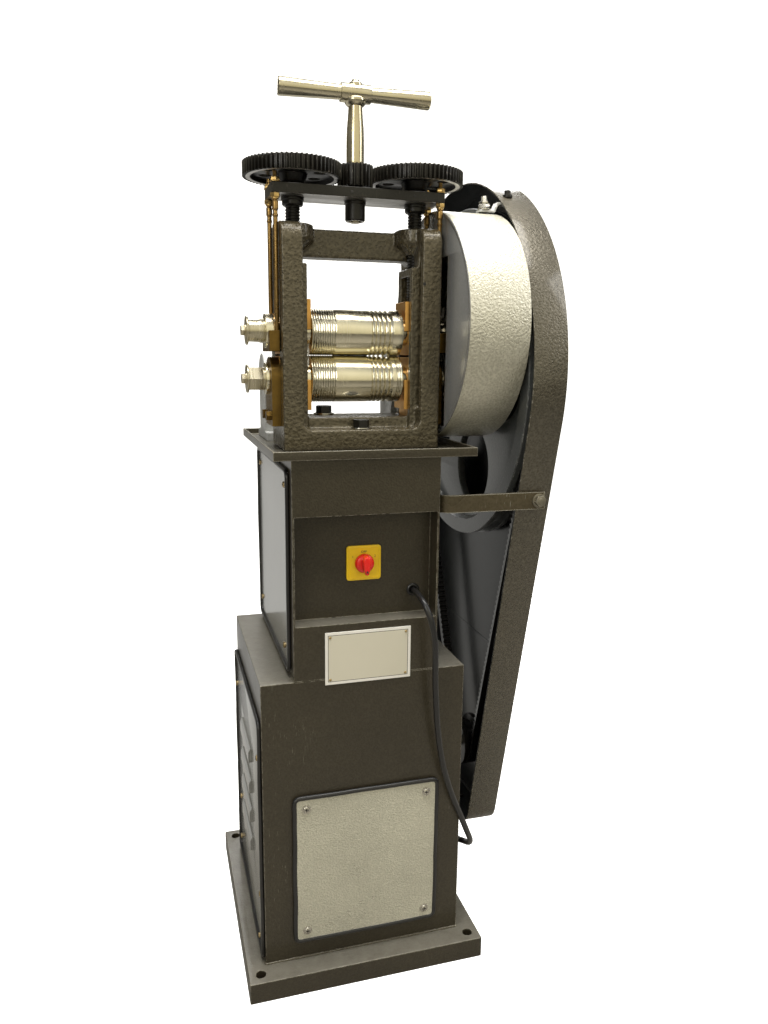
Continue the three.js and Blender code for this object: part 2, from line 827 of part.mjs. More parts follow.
function lowerRoll() {
  return turned('x', rollProfile(
    lowerCollarRadius, postOuter + neckPlateThickness + fit, lowerCollarLength, bullGearLeft + bullGearWidth,
  ), 40);
}

// Sleeve, washer and end bolt on the left end of a roll
function spool(rollEnd, section, radius) {
  const spoolEnd = -rollEnd - spoolLength;
  const sleeve = section === 'round'
    ? rod('x', radius, spoolEnd, -rollEnd, 0, 0, 24)
    : extrude('x', hexagon(radius), spoolEnd, -rollEnd);
  const washer = rod('x', endWasherRadius, spoolEnd - endWasherThickness, spoolEnd + fit, 0, 0, 24);
  const headFrom = spoolEnd - endWasherThickness - endBoltHeadHeight;
  const head = extrude('x', hexagon(endBoltHeadRadius), headFrom, spoolEnd - endWasherThickness + fit);
  return join(sleeve, washer, head);
}

function couplingGear(startsWith, angle, right) {
  const shape = gearOutline(couplingTeeth, rollDistance / 2, rollTailRadius + fit, angle, startsWith);
  return extrude('x', shape, couplingGearLeft, right);
}

// Screw that presses on an upper bearing block, threaded in the housing boss
function screw(tipZ) {
  return turned('z', [
    [tipZ, 0],
    [tipZ, screwThreadRadius],
    [plateZ - bushDrop - fit, screwThreadRadius],
    [plateZ - bushDrop - fit, screwShaftRadius],
    [trayFloor + screwGearRimBottom + screwGearRimHeight + screwGearHubRise, screwShaftRadius],
    [trayFloor + screwGearRimBottom + screwGearRimHeight + screwGearHubRise, 0],
  ], 24);
}

function screwGear(angle) {
  const rimBottom = trayFloor + screwGearRimBottom;
  const rimTop = rimBottom + screwGearRimHeight;
  const webBottom = rimBottom + (screwGearRimHeight - screwGearWebHeight) / 2;
  const hubBottom = plateTop + bushNeckRise + fit;
  const toothed = gearOutline(screwGearTeeth, screwGearRadius, screwGearRimInner, angle, 'gap');
  const rim = extrude('z', toothed, rimBottom, rimTop, 24);
  const web = ring(
    'z', screwGearRimInner + 1, screwShaftRadius + fit, webBottom, webBottom + screwGearWebHeight, 0, 0, 24,
  );
  const hub = ring('z', screwGearHubRadius, screwShaftRadius + fit, hubBottom, rimTop + screwGearHubRise);
  const holes = [];
  for (let hole = 0; hole < screwGearWebHoles; hole += 1) {
    const turn = (hole + 0.5) * 2 * Math.PI / screwGearWebHoles;
    const x = screwGearWebHoleCircle * Math.cos(turn);
    const y = screwGearWebHoleCircle * Math.sin(turn);
    holes.push(rod('z', screwGearWebHoleRadius, webBottom - 1, webBottom + screwGearWebHeight + 1, x, y, 8));
  }
  return cut(join(rim, web, hub), ...holes);
}

function neckedBush(radius, drop, neck, bore) {
  return join(
    ring('z', radius, bore + fit, plateZ - drop, plateZ),
    ring('z', neck, bore + fit, plateZ - fit, plateTop + bushNeckRise),
  );
}

// Crosshead plate with round ends, bored for the three bushes and the four rods
function crossheadPlate() {
  const half = plateWidth / 2;
  const shape = rectangle(-plateHalfLength, plateHalfLength, millY - half, millY + half);
  shape.holes.push(circle(centreNeckRadius + fit, 0, millY));
  for (const side of [-1, 1]) {
    shape.holes.push(circle(bushNeckRadius + fit, side * screwX, millY));
    shape.holes.push(circle(liftRodRadius + fit, side * liftRodX, millY - liftRodSpread));
    shape.holes.push(circle(liftRodRadius + fit, side * liftRodX, millY + liftRodSpread));
  }
  return extrude('z', shape, plateZ, plateTop);
}

// Lifting rod from a saddle up through the plate, with a nut below and one above the plate
function liftRod() {
  return join(
    rod('z', liftRodRadius, upperAxis, plateTop + rodNutHeight + rodEndRise, 0, 0, 8),
    extrude('z', hexagon(rodNutRadius, 0, 0, Math.PI / 6), plateZ - rodNutHeight, plateZ),
    extrude('z', hexagon(rodNutRadius, 0, 0, Math.PI / 6), plateTop, plateTop + rodNutHeight),
  );
}

function handleShaft() {
  const bottom = plateZ - centreBushDrop - shaftBelowBush;
  const pinionTop = plateTop + bushNeckRise + fit + pinionHeight;
  const top = trayFloor + barHeight - barHubRadius;
  return turned('z', [
    [bottom, 0],
    [bottom, handleShaftRadius],
    [pinionTop, handleShaftRadius],
    [pinionTop, handleTopRadius],
    [top, handleShaftRadius],
    [top, 0],
  ], 24);
}

// T bar: thicker towards its ends, with a collar on the shaft and a short nub on top
function handleBar() {
  const z = trayFloor + barHeight;
  const bar = turned('x', [
    [-barHalfLength, 0],
    [-barHalfLength, barEndRadius - barEndEase],
    [-barHalfLength + barEndEase, barEndRadius],
    [-barHubHalfLength, barMiddleRadius],
    [barHubHalfLength, barMiddleRadius],
    [barHalfLength - barEndEase, barEndRadius],
    [barHalfLength, barEndRadius - barEndEase],
    [barHalfLength, 0],
  ], 24).translate(0, 0, z);
  return join(
    bar,
    rod('z', barHubRadius, z - barHubRadius, z + barEndRadius),
    rod('z', nubRadius, z, z + nubRise, 0, 0, 12),
  );
}

// Round gear cover: shell, right wall, and a left wall with a mouth for the roll necks
function gearCover() {
  const wall = coverWallThickness;
  const mouth = coverMouthMargin + saddleWidth / 2;
  return cut(
    rod('x', coverRadius, coverLeft, coverRight, coverY, coverZ, 64),
    rod('x', coverRadius - wall, coverLeft + wall, coverRight - wall, coverY, coverZ, 64),
    block(
      coverLeft - 1, coverLeft + wall + 1, millY - mouth, millY + mouth,
      trayFloor + coverMouthBelow, trayFloor + coverMouthAbove,
    ),
    rod('x', shaftRadius + wall, coverLeft - 1, coverRight + 1, shaftY, shaftZ),
    rod('x', intermediateShaftRadius + fit, coverLeft - 1, coverRight + 1, intermediateY, intermediateZ),
  );
}

// Coupling gear and bull gear of the lower roll, made as one cluster
function lowerRollGears() {
  const angle = Math.atan2(intermediateZ - lowerAxis, intermediateY - millY);
  const bull = gearOutline(bullTeeth, bullRadius, rollTailRadius + fit, angle, 'tooth');
  return join(
    couplingGear('tooth', Math.PI / 2, bullGearLeft + 1),
    extrude('x', bull, bullGearLeft, bullGearLeft + bullGearWidth),
  );
}

// Small and large gear of the intermediate shaft, made as one cluster
function intermediateCluster() {
  const toRoll = Math.atan2(lowerAxis - intermediateZ, millY - intermediateY);
  const toFlywheel = Math.atan2(shaftZ - intermediateZ, shaftY - intermediateY);
  const bore = intermediateShaftRadius + fit;
  const small = gearOutline(intermediatePinionTeeth, intermediatePinionRadius, bore, toRoll, 'gap');
  const large = gearOutline(intermediateTeeth, intermediateRadius, bore, toFlywheel, 'tooth');
  return join(
    extrude('x', small, bullGearLeft, intermediateGearLeft + 1),
    extrude('x', large, intermediateGearLeft, intermediateGearLeft + intermediateGearWidth),
  );
}

// Flywheel shaft with the drive pinion cut on it
function flywheelShaft() {
  const toIntermediate = Math.atan2(intermediateZ - shaftZ, intermediateY - shaftY);
  const pinion = gearOutline(drivePinionTeeth, drivePinionRadius, shaftRadius - 1, toIntermediate, 'gap');
  return join(
    rod('x', shaftRadius, leftBracketLeft - shaftOutOfBracket, flywheelLeft + flywheelWidth),
    extrude('x', pinion, intermediateGearLeft, intermediateGearLeft + intermediateGearWidth),
  );
}

// Pedestal bearing on the tray: foot, body and round head, with a second head where asked for
function bearingBracket(left, heads) {
  const right = left + bracketThickness;
  const headY = heads[0][0];
  const pieces = heads.flatMap(([y, z, radius]) => [
    rod('x', radius, left, right, y, z, 24),
    extrude('x', outline([
      [headY - radius * bracketFootShare, trayFloor],
      [headY + bearingHeadRadius * bracketFootShare, trayFloor],
      [y + radius * bracketWaistShare, z],
      [y - radius * bracketWaistShare, z],
    ]), left, right),
  ]);
  const rear = trayFront + trayDepth - sheet - 1;
  const footRear = Math.min(headY + bracketFootWidth / 2, rear);
  const foot = block(
    left, right, footRear - bracketFootWidth, footRear, trayFloor, trayFloor + bracketFootHeight,
  );
  return cut(
    join(foot, ...pieces),
    ...heads.map(([y, z, , bore]) => rod('x', bore + fit, left - 1, right + 1, y, z)),
  );
}

// Flywheel pulley: grooved rim, web with round openings, long hub
function flywheelPulley() {
  const right = flywheelLeft + flywheelWidth;
  const inner = flywheelRadius - flywheelRim;
  const webLeft = flywheelLeft + (flywheelWidth - flywheelWeb) / 2;
  const grooveHalf = beltWidth / 2 + 1;
  const grooveFloor = flywheelRadius - beltSink - beltThickness - fit;
  const rim = turned('x', [
    [flywheelLeft, inner],
    [flywheelLeft, flywheelRadius],
    [beltX - grooveHalf, flywheelRadius],
    [beltX - grooveHalf, grooveFloor],
    [beltX + grooveHalf, grooveFloor],
    [beltX + grooveHalf, flywheelRadius],
    [right, flywheelRadius],
    [right, inner],
    [flywheelLeft, inner],
  ], 64);
  const web = ring('x', inner + 1, shaftRadius + fit, webLeft, webLeft + flywheelWeb, 0, 0, 64);
  const hub = ring('x', flywheelHubRadius, shaftRadius + fit, flywheelLeft, right);
  const openings = [];
  for (let opening = 0; opening < flywheelOpenings; opening += 1) {
    const turn = (opening + 0.5) * 2 * Math.PI / flywheelOpenings;
    openings.push(rod(
      'x', flywheelOpeningRadius, webLeft - 1, webLeft + flywheelWeb + 1,
      flywheelOpeningCircle * Math.cos(turn), flywheelOpeningCircle * Math.sin(turn), 20,
    ));
  }
  return cut(join(rim, web, hub), ...openings);
}

// Outline of a belt round both pulleys, its points in y and z
function beltOutline(bigRadius, smallRadius) {
  const dy = motorY - shaftY;
  const dz = motorZ - shaftZ;
  const span = Math.hypot(dy, dz);
  const towards = Math.atan2(dz, dy);
  const open = Math.acos((bigRadius - smallRadius) / span);
  const shape = new THREE.Shape();
  shape.absarc(shaftY, shaftZ, bigRadius, towards + open, towards - open + 2 * Math.PI);
  shape.absarc(motorY, motorZ, smallRadius, towards - open, towards + open);
  return shape;
}

function driveBelt() {
  const bigOuter = flywheelRadius - beltSink;
  const smallOuter = motorPulleyRadius - beltSink;
  const shape = beltOutline(bigOuter, smallOuter);
  const inside = beltOutline(bigOuter - beltThickness, smallOuter - beltThickness);
  return extrude('x', withHoles(shape, inside), beltX - beltWidth / 2, beltX + beltWidth / 2, 40);
}

function motorPulley() {
  const left = beltX - motorPulleyWidth / 2;
  const right = beltX + motorPulleyWidth / 2;
  const grooveHalf = beltWidth / 2 + 1;
  const grooveFloor = motorPulleyRadius - beltSink - beltThickness - fit;
  return turned('x', [
    [left, motorShaftRadius + fit],
    [left, motorPulleyRadius],
    [beltX - grooveHalf, motorPulleyRadius],
    [beltX - grooveHalf, grooveFloor],
    [beltX + grooveHalf, grooveFloor],
    [beltX + grooveHalf, motorPulleyRadius],
    [right, motorPulleyRadius],
    [right, motorShaftRadius + fit],
    [left, motorShaftRadius + fit],
  ], 24);
}

// Motor body with its end shields and a welded foot that stands on the base
function motorBody() {
  const right = lowerRight - sheet - 1;
  const left = right - motorLength;
  const bore = motorLength / 8;
  return cut(
    join(
      rod('x', motorRadius, left, right, motorY, motorZ, 24),
      block(left + bore, right - bore, motorY - motorRadius / 2, motorY + motorRadius / 2, baseHeight, motorZ),
      block(
        left + bore, right - bore, motorY - motorFootWidth / 2, motorY + motorFootWidth / 2,
        baseHeight, baseHeight + motorFootThickness,
      ),
    ),
    rod('x', motorShaftRadius + fit, right - motorLength / 4, right + 1, motorY, motorZ),
  );
}

// Outline of the belt guard: an arc over the flywheel and straight sides down to a flat foot
function guardOutline(inset) {
  const radius = guardRadius - inset;
  const tilt = Math.atan(guardSlope);
  const corner = guardBottomCorner - inset;
  const bottom = guardBottom + inset;
  // Half width of the straight sides at a height, from the point where the arc ends
  const arcEndY = radius * Math.cos(tilt);
  const arcEndZ = guardZ - radius * Math.sin(tilt);
  const halfWidth = (z) => arcEndY - (arcEndZ - z) * guardSlope;
  const cornerZ = bottom + corner;
  const cornerY = halfWidth(cornerZ - corner * Math.sin(tilt)) - corner * Math.cos(tilt);
  const shape = new THREE.Shape();
  shape.absarc(guardY, guardZ, radius, -tilt, Math.PI + tilt);
  shape.absarc(guardY - cornerY, cornerZ, corner, Math.PI + tilt, 1.5 * Math.PI);
  shape.absarc(guardY + cornerY, cornerZ, corner, -0.5 * Math.PI, -tilt);
  return shape;
}

function beltGuard() {
  const footY = guardFootY;
  const footTop = guardBottom;
  const footRight = guardRight - guardSheet;
  return join(
    cut(
      extrude('x', guardOutline(0), guardLeft, guardRight, 36),
      extrude('x', guardOutline(guardSheet), guardLeft - 1, guardRight - guardSheet, 36),
    ),
    block(lowerRight, footRight, footY, footY + guardFootDepth, footTop - guardFootThickness, footTop),
    block(
      lowerRight, lowerRight + guardFootThickness, footY, footY + guardFootDepth,
      footTop - guardFootFlange, footTop - guardFootThickness + 1,
    ),
  );
}

// Strap from the upper cabinet's right wall, bent round to the guard's front edge
function guardStrap() {
  const front = guardFrontAt(strapBottom + strapHeight);
  const bendRear = strapFrontFace + strapBend + strapThickness;
  const shape = new THREE.Shape();
  const outerRadius = strapBend;
  const innerRadius = strapBend - strapThickness;
  const centreX = upperRight + strapBend;
  const centreY = strapFrontFace + strapBend;
  shape.moveTo(strapEnd, strapFrontFace);
  shape.lineTo(strapEnd, strapFrontFace + strapThickness);
  shape.absarc(centreX, centreY, innerRadius, -Math.PI / 2, -Math.PI, true);
  shape.lineTo(upperRight + strapThickness, bendRear + strapBend);
  shape.lineTo(upperRight, bendRear + strapBend);
  shape.absarc(centreX, centreY, outerRadius, Math.PI, 1.5 * Math.PI);
  const strip = extrude('z', shape, strapBottom, strapBottom + strapHeight, 24);
  const shift = front - (strapFrontFace + strapThickness) - fit;
  const boltZ = strapBottom + strapHeight / 2;
  const bolt = extrude(
    'y', hexagon(strapBoltRadius, strapBoltX, boltZ), strapFrontFace - strapBoltHeight, strapFrontFace + 1,
  );
  return join(strip, bolt).translate(0, shift, 0);
}

function guardFrontAt(z) {
  const tilt = Math.atan(guardSlope);
  const arcEndY = guardRadius * Math.cos(tilt);
  const arcEndZ = guardZ - guardRadius * Math.sin(tilt);
  return guardY - (arcEndY - (arcEndZ - z) * guardSlope);
}

// Strip from the top of the gear cover to the underside of the guard, with a stud and a nut
function coverLink() {
  const y = linkY - linkWidth / 2;
  const coverTop = (at) => coverZ + Math.sqrt(coverRadius ** 2 - (at - coverY) ** 2);
  const guardUnder = (at) => guardZ + Math.sqrt((guardRadius - guardSheet) ** 2 - (at - guardY) ** 2);
  const low = coverTop(linkY + linkWidth / 2) + fit;
  const high = guardUnder(y) - fit - linkThickness;
  const bendLeft = coverRight - linkBend;
  const bendRight = guardLeft - linkBend;
  const right = linkBoltX + linkWidth / 2;
  // The upper side of the slanting run starts back or forward of the lower side, as it rises or falls
  const rise = high - low;
  const lean = linkThickness * rise / (bendRight - bendLeft + Math.hypot(bendRight - bendLeft, rise));
  const strip = extrude('y', outline([
    [linkLeft, low],
    [bendLeft, low],
    [bendRight, high],
    [right, high],
    [right, high + linkThickness],
    [bendRight - lean, high + linkThickness],
    [bendLeft - lean, low + linkThickness],
    [linkLeft, low + linkThickness],
  ]), y, y + linkWidth);
  return join(
    strip,
    rod('z', linkStudRadius, low + 1, low + linkStudHeight, linkStudX, linkY, 12),
    extrude('z', hexagon(linkNutRadius, linkStudX, linkY), low + 1, low + linkThickness + linkNutHeight),
  );
}

// Switch: plate in the recess with its body behind the panel
function switchBody() {
  const half = switchSize / 2;
  const bodyHalf = switchBodySize / 2;
  const front = recessDepth - switchPlateThickness;
  return join(
    block(switchX - half, switchX + half, front, recessDepth, switchZ - half, switchZ + half),
    block(
      switchX - bodyHalf, switchX + bodyHalf, recessDepth - 1, recessDepth + switchBodyDepth,
      switchZ - bodyHalf, switchZ + bodyHalf,
    ),
  );
}

function switchKnob() {
  const rear = recessDepth - switchPlateThickness - fit;
  const front = rear - knobHeight;
  const disc = rod('y', knobRadius, rear - knobHeight / 3, rear, 0, 0, 32);
  const grip = block(-knobGripWidth / 2, knobGripWidth / 2, front, rear - 1, -knobRadius + 1, knobRadius - 1);
  return join(disc, grip);
}

// Route of the switch lead: out of the recess, down the front, round to the right wall
function cableRoute() {
  const points = [
    [cableX, recessDepth - grommetLip - fit, cableZ],
    [cableX, recessDepth / 2 - 0.5, cableZ],
    [cableX, -4, cableZ - 1.6],
    [cableX + 2.5, -18, cableZ - 9.2],
    [cableX + 7.5, -25, cableZ - 25.2],
    [cableX + 14.5, -26, cableZ - 58.2],
    [cableX + 17.7, -24, cableZ - 123.2],
    [cableX + 24.5, -20, cableZ - 193.2],
    [cableX + 34.2, -17, cableZ - 246.2],
    [lowerRight - 19, -13, glandZ + 136],
    [lowerRight, -8, glandZ + 91],
    [lowerRight + 12, -1, glandZ + 64],
    [lowerRight + 24, glandY - 59, glandZ + 39],
    [lowerRight + 32.5, glandY - 39, glandZ + 19],
    [lowerRight + 35.5, glandY - 22, glandZ + 7],
    [lowerRight + 33, glandY - 7, glandZ + 1],
    [lowerRight + 27, glandY, glandZ],
    [lowerRight + glandLength + fit, glandY, glandZ],
  ];
  const places = points.map(([x, y, z]) => new THREE.Vector3(x, y, z));
  return new THREE.CatmullRomCurve3(places, false, 'centripetal');
}

function switchCable() {
  const sides = 8;
  const section = new THREE.Shape();
  section.absarc(0, 0, cableRadius, 0, 2 * Math.PI);
  return new THREE.ExtrudeGeometry(section, {
    steps: 44, extrudePath: cableRoute(), bevelEnabled: false, curveSegments: sides / 2,
  });
}

function cableGrommet() {
  return join(
    rod('y', grommetRadius, recessDepth - grommetLip, recessDepth, cableX, cableZ, 24),
    rod('y', grommetNeckRadius, recessDepth - 1, recessDepth + 2 * sheet, cableX, cableZ, 16),
  );
}

function cableGland() {
  return join(
    extrude('x', hexagon(glandRadius, glandY, glandZ), lowerRight, lowerRight + glandLength / 2),
    rod('x', glandRadius * 0.8, lowerRight, lowerRight + glandLength, glandY, glandZ, 24),
    rod('x', glandRadius / 2, lowerRight - 3 * sheet, lowerRight + 1, glandY, glandZ, 16),
  );
}

// Assembly
const mill = new THREE.Group();

const pedestal = new THREE.Group();
mill.add(pedestal);
addPiece(pedestal, 'base_plate', basePlate(), paint);
addPiece(pedestal, 'lower_cabinet', lowerCabinet(), paint);
addPiece(pedestal, 'upper_cabinet', upperCabinet(), paint);
addFrontPanel(pedestal);
addPiece(pedestal, 'upper_side_cover', upperSideCover(), greyPaint);
addPiece(pedestal, 'lower_side_cover', lowerSideCover(), greyPaint);
addPiece(pedestal, 'name_plate', block(
  namePlateLeft, namePlateLeft + namePlateWidth, -namePlateThickness, 0,
  lowerTop - namePlateBelowJoint, lowerTop - namePlateBelowJoint + namePlateHeight,
), cream);
addPiece(pedestal, 'chip_tray', chipTray(), paint);
addPiece(pedestal, 'switch_body', switchBody(), yellow);
addPiece(pedestal, 'switch_knob', switchKnob(), red, switchX, 0, switchZ);
addPiece(pedestal, 'cable_grommet', cableGrommet(), rubber);
addPiece(pedestal, 'cable_gland', cableGland(), rubber);
addPiece(pedestal, 'switch_cable', switchCable(), rubber);

const frame = new THREE.Group();
mill.add(frame);
addPiece(frame, 'mill_housing', millHousing(), castIron);
housingBoltPlaces().forEach((place, index) => {
  addPiece(frame, ['front_housing_bolt', 'rear_housing_bolt'][index], housingBolt(place), blackSteel);
});
for (const [name, side] of [['left', -1], ['right', 1]]) {
  addPiece(frame, `lower_${name}_bearing_block`, bearingBlock(
    side, lowerAxis, lowerAxis - trayFloor - bedHeight, lowerBlockAbove, lowerFlangeBelow, lowerFlangeAbove,
  ), brass);
  addPiece(frame, `${name}_neck_plate`, neckPlate(side), brass);
}
addPiece(frame, 'gear_cover', gearCover(), silverPaint);
addPiece(frame, 'cover_link', coverLink(), greyPaint);
addPiece(frame, 'left_bearing_bracket', bearingBracket(leftBracketLeft, [
  [shaftY, shaftZ, bearingHeadRadius, shaftRadius],
]), greyPaint);
addPiece(frame, 'right_bearing_bracket', bearingBracket(rightBracketLeft, [
  [shaftY, shaftZ, bearingHeadRadius, shaftRadius],
  [intermediateY, intermediateZ, intermediateHeadRadius, intermediateShaftRadius],
]), greyPaint);

const crosshead = new THREE.Group();
mill.add(crosshead);
addPiece(crosshead, 'crosshead_plate', crossheadPlate(), blackSteel);
addPiece(crosshead, 'centre_bush', neckedBush(
  centreBushRadius, centreBushDrop, centreNeckRadius, handleShaftRadius,
), blackSteel, 0, millY);
for (const [name, side] of [['left', -1], ['right', 1]]) {
  addPiece(crosshead, `${name}_bush`, neckedBush(
    bushRadius, bushDrop, bushNeckRadius, screwShaftRadius,
  ), blackSteel, side * screwX, millY);
  addPiece(crosshead, `${name}_saddle`, saddle(side), brass);
  addPiece(crosshead, `upper_${name}_bearing_block`, bearingBlock(
    side, upperAxis, upperBlockBelow, upperBlockAbove, upperFlangeBelow, upperBlockAbove,
  ), brass);
  for (const [row, offset] of [['front', -1], ['rear', 1]]) {
    addPiece(
      crosshead, `${row}_${name}_lift_rod`, liftRod(), brass, side * liftRodX, millY + offset * liftRodSpread,
    );
  }
}

const setting = new THREE.Group();
crosshead.add(setting);
for (const [name, side] of [['left', -1], ['right', 1]]) {
  const tipZ = upperAxis + upperBlockAbove + fit;
  addPiece(setting, `${name}_screw`, screw(tipZ), steel, side * screwX, millY);
  addPiece(setting, `${name}_screw_gear`, screwGear(side < 0 ? 0 : Math.PI), blackSteel, side * screwX, millY);
}
const pinionBottom = plateTop + bushNeckRise + fit;
addPiece(setting, 'handle_pinion', extrude(
  'z', gearOutline(pinionTeeth, pinionRadius, handleShaftRadius + fit, 0, 'tooth'),
  pinionBottom, pinionBottom + pinionHeight - fit,
), blackSteel, 0, millY);
addPiece(setting, 'handle_shaft', handleShaft(), steel, 0, millY);
addPiece(setting, 'handle_bar', handleBar(), steel, 0, millY);

const rolls = new THREE.Group();
mill.add(rolls);
const upperEnd = saddleLeft + fit + upperCollarLength;
const lowerEnd = postOuter + neckPlateThickness + fit + lowerCollarLength;
addPiece(rolls, 'upper_roll', upperRoll(), steel, 0, millY, upperAxis);
addPiece(rolls, 'lower_roll', lowerRoll(), steel, 0, millY, lowerAxis);
addPiece(rolls, 'upper_spool', spool(upperEnd, 'round', upperSpoolRadius), steel, 0, millY, upperAxis);
addPiece(rolls, 'lower_spool', spool(lowerEnd, 'hexagon', lowerSpoolRadius), steel, 0, millY, lowerAxis);
addPiece(rolls, 'upper_roll_gear', couplingGear(
  'gap', -Math.PI / 2, couplingGearLeft + couplingGearWidth,
), steel, 0, millY, upperAxis);
addPiece(rolls, 'lower_roll_gears', lowerRollGears(), steel, 0, millY, lowerAxis);

const drive = new THREE.Group();
mill.add(drive);
addPiece(drive, 'intermediate_shaft', rod(
  'x', intermediateShaftRadius, rightBracketLeft - intermediateOutOfBracket, coverRight - fit, 0, 0, 24,
), steel, 0, intermediateY, intermediateZ);
addPiece(drive, 'intermediate_gears', intermediateCluster(), steel, 0, intermediateY, intermediateZ);
addPiece(drive, 'flywheel_shaft', flywheelShaft(), steel, 0, shaftY, shaftZ);
addPiece(drive, 'flywheel_pulley', flywheelPulley(), greyPaint, 0, shaftY, shaftZ);
addPiece(drive, 'drive_belt', driveBelt(), rubber);
addPiece(drive, 'motor', motorBody(), greyPaint);
addPiece(drive, 'motor_shaft', rod(
  'x', motorShaftRadius, lowerRight - sheet - 1 - motorLength / 4 + fit, beltX + motorPulleyWidth / 2, 0, 0, 24,
), steel, 0, motorY, motorZ);
addPiece(drive, 'motor_pulley', motorPulley(), blackSteel, 0, motorY, motorZ);
addPiece(drive, 'belt_guard', beltGuard(), paint);
addPiece(drive, 'guard_strap', guardStrap(), paint);

// The origin goes to the floor under the middle of everything but the hanging lead
const bounds = new THREE.Box3();
mill.updateMatrixWorld(true);
mill.traverse((piece) => {
  if (piece.isMesh && piece.name !== 'switch_cable') bounds.expandByObject(piece, true);
});
const middle = bounds.getCenter(new THREE.Vector3());
mill.position.set(-middle.x, -middle.y, -bounds.min.z);
mill.updateMatrixWorld(true);

export default mill;
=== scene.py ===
# A motor driven jewellers rolling mill on a sheet metal pedestal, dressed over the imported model.
import math

import bmesh
import bpy
from mathutils import Matrix, Vector, noise


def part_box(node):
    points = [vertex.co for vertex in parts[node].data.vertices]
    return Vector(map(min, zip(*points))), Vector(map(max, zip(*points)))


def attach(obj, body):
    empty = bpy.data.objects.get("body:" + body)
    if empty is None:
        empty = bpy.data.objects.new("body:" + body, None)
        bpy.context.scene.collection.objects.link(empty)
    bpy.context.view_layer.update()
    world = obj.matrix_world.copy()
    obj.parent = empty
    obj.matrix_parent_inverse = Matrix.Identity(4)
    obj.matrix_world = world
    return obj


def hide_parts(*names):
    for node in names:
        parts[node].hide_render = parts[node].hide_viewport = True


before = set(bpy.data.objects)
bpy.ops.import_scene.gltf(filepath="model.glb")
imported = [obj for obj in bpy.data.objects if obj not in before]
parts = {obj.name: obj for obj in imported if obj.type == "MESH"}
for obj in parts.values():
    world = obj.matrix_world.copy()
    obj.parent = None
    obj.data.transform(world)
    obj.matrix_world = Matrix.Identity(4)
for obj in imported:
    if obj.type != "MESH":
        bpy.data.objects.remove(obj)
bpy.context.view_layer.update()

# Lengths are in millimetres from the mill's own origin, which lies on the floor midway between
# the posts and level with the front of the cabinets. Only the studio and the finishes are in
# metres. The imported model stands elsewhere.
mill_origin = Vector((-38, -259.4183, 0))
to_metres = Matrix.Scale(0.001, 4) @ Matrix.Translation(mill_origin)


def mill_point(x, y, z):
    """A place in the scene, from millimetres in the mill's own frame."""
    return to_metres @ Vector((x, y, z))


def set_out(name, data):
    """A new object in the scene."""
    made = bpy.data.objects.new(name, data)
    bpy.context.scene.collection.objects.link(made)
    return made


# The camera stands where the photographer stood: in front, a little to the left, and level with
# the rolls, looking down on the pedestal.
photographer = mill_point(-276.7, -978.3, 879.6)
yaw, pitch, roll = math.radians(16.4), math.radians(11.3), math.radians(0.6)
ahead = Vector((math.sin(yaw) * math.cos(pitch), math.cos(yaw) * math.cos(pitch), -math.sin(pitch)))
level = Vector((math.cos(yaw), -math.sin(yaw), 0))
upright = level.cross(ahead)
camera_side = level * math.cos(roll) + upright * math.sin(roll)
camera_top = upright * math.cos(roll) - level * math.sin(roll)
lens = bpy.data.cameras.new("camera")
lens.lens = 27.85
lens.sensor_width = 36
lens.clip_end = 60
camera = set_out("camera", lens)
camera.matrix_world = (
    Matrix.Translation(photographer) @ Matrix((camera_side, camera_top, -ahead)).transposed().to_4x4()
)
bpy.context.scene.camera = camera

# The switch lead: round black mains cable that comes out of the recess, hangs down the front
# and goes round the corner into the gland on the right wall. Its points are those of the CAD.
lead_radius = 4.25
lead_points = [
    (62.5, 25.7, 558.2), (62.5, 14, 558.2), (62.5, -4, 556.6), (65, -18, 549), (70, -25, 533),
    (77, -26, 500), (80.2, -24, 435), (87, -20, 365), (96.7, -17, 312), (112, -13, 263),
    (131, -8, 218), (143, -1, 191), (155, 13, 166), (163.5, 33, 146), (166.5, 50, 134),
    (164, 65, 128), (158, 72, 127), (149.3, 72, 127),
]


def through(points, steps):
    """The smooth line that the lead follows through its points, several steps to each span."""
    line = [Vector(point) for point in points]
    ends = [2 * line[0] - line[1], *line, 2 * line[-1] - line[-2]]
    path = []
    for p0, p1, p2, p3 in zip(ends, ends[1:], ends[2:], ends[3:]):
        d0, d1, d2 = (math.sqrt((b - a).length) for a, b in ((p0, p1), (p1, p2), (p2, p3)))
        t1 = ((p1 - p0) / d0 - (p2 - p0) / (d0 + d1) + (p2 - p1) / d1) * d1
        t2 = ((p2 - p1) / d1 - (p3 - p1) / (d1 + d2) + (p3 - p2) / d2) * d1
        for step in range(steps):
            t = step / steps
            square, cube = 3 * (p2 - p1) - 2 * t1 - t2, 2 * (p1 - p2) + t1 + t2
            path.append(p1 + t1 * t + square * t ** 2 + cube * t ** 3)
    return path + [line[-1]]


def settled(holder):
    """The mesh that an object shows, with the object and the curve in it taken away."""
    mesh = bpy.data.meshes.new_from_object(holder.evaluated_get(bpy.context.evaluated_depsgraph_get()))
    source = holder.data
    bpy.data.objects.remove(holder)
    if isinstance(source, bpy.types.Curve):
        bpy.data.curves.remove(source)
    return mesh


def soft_tube(points, radius, closed=False, sides=3):
    """A round strip along a line of points."""
    drawing = bpy.data.curves.new("strip", "CURVE")
    drawing.dimensions = "3D"
    drawing.bevel_depth = radius / 1000
    drawing.bevel_resolution = sides
    drawing.use_fill_caps = not closed
    run = drawing.splines.new("POLY")
    run.points.add(len(points) - 1)
    for point, place in zip(run.points, points):
        point.co = (*mill_point(*place), 1)
    run.use_cyclic_u = closed
    return settled(set_out("strip", drawing))


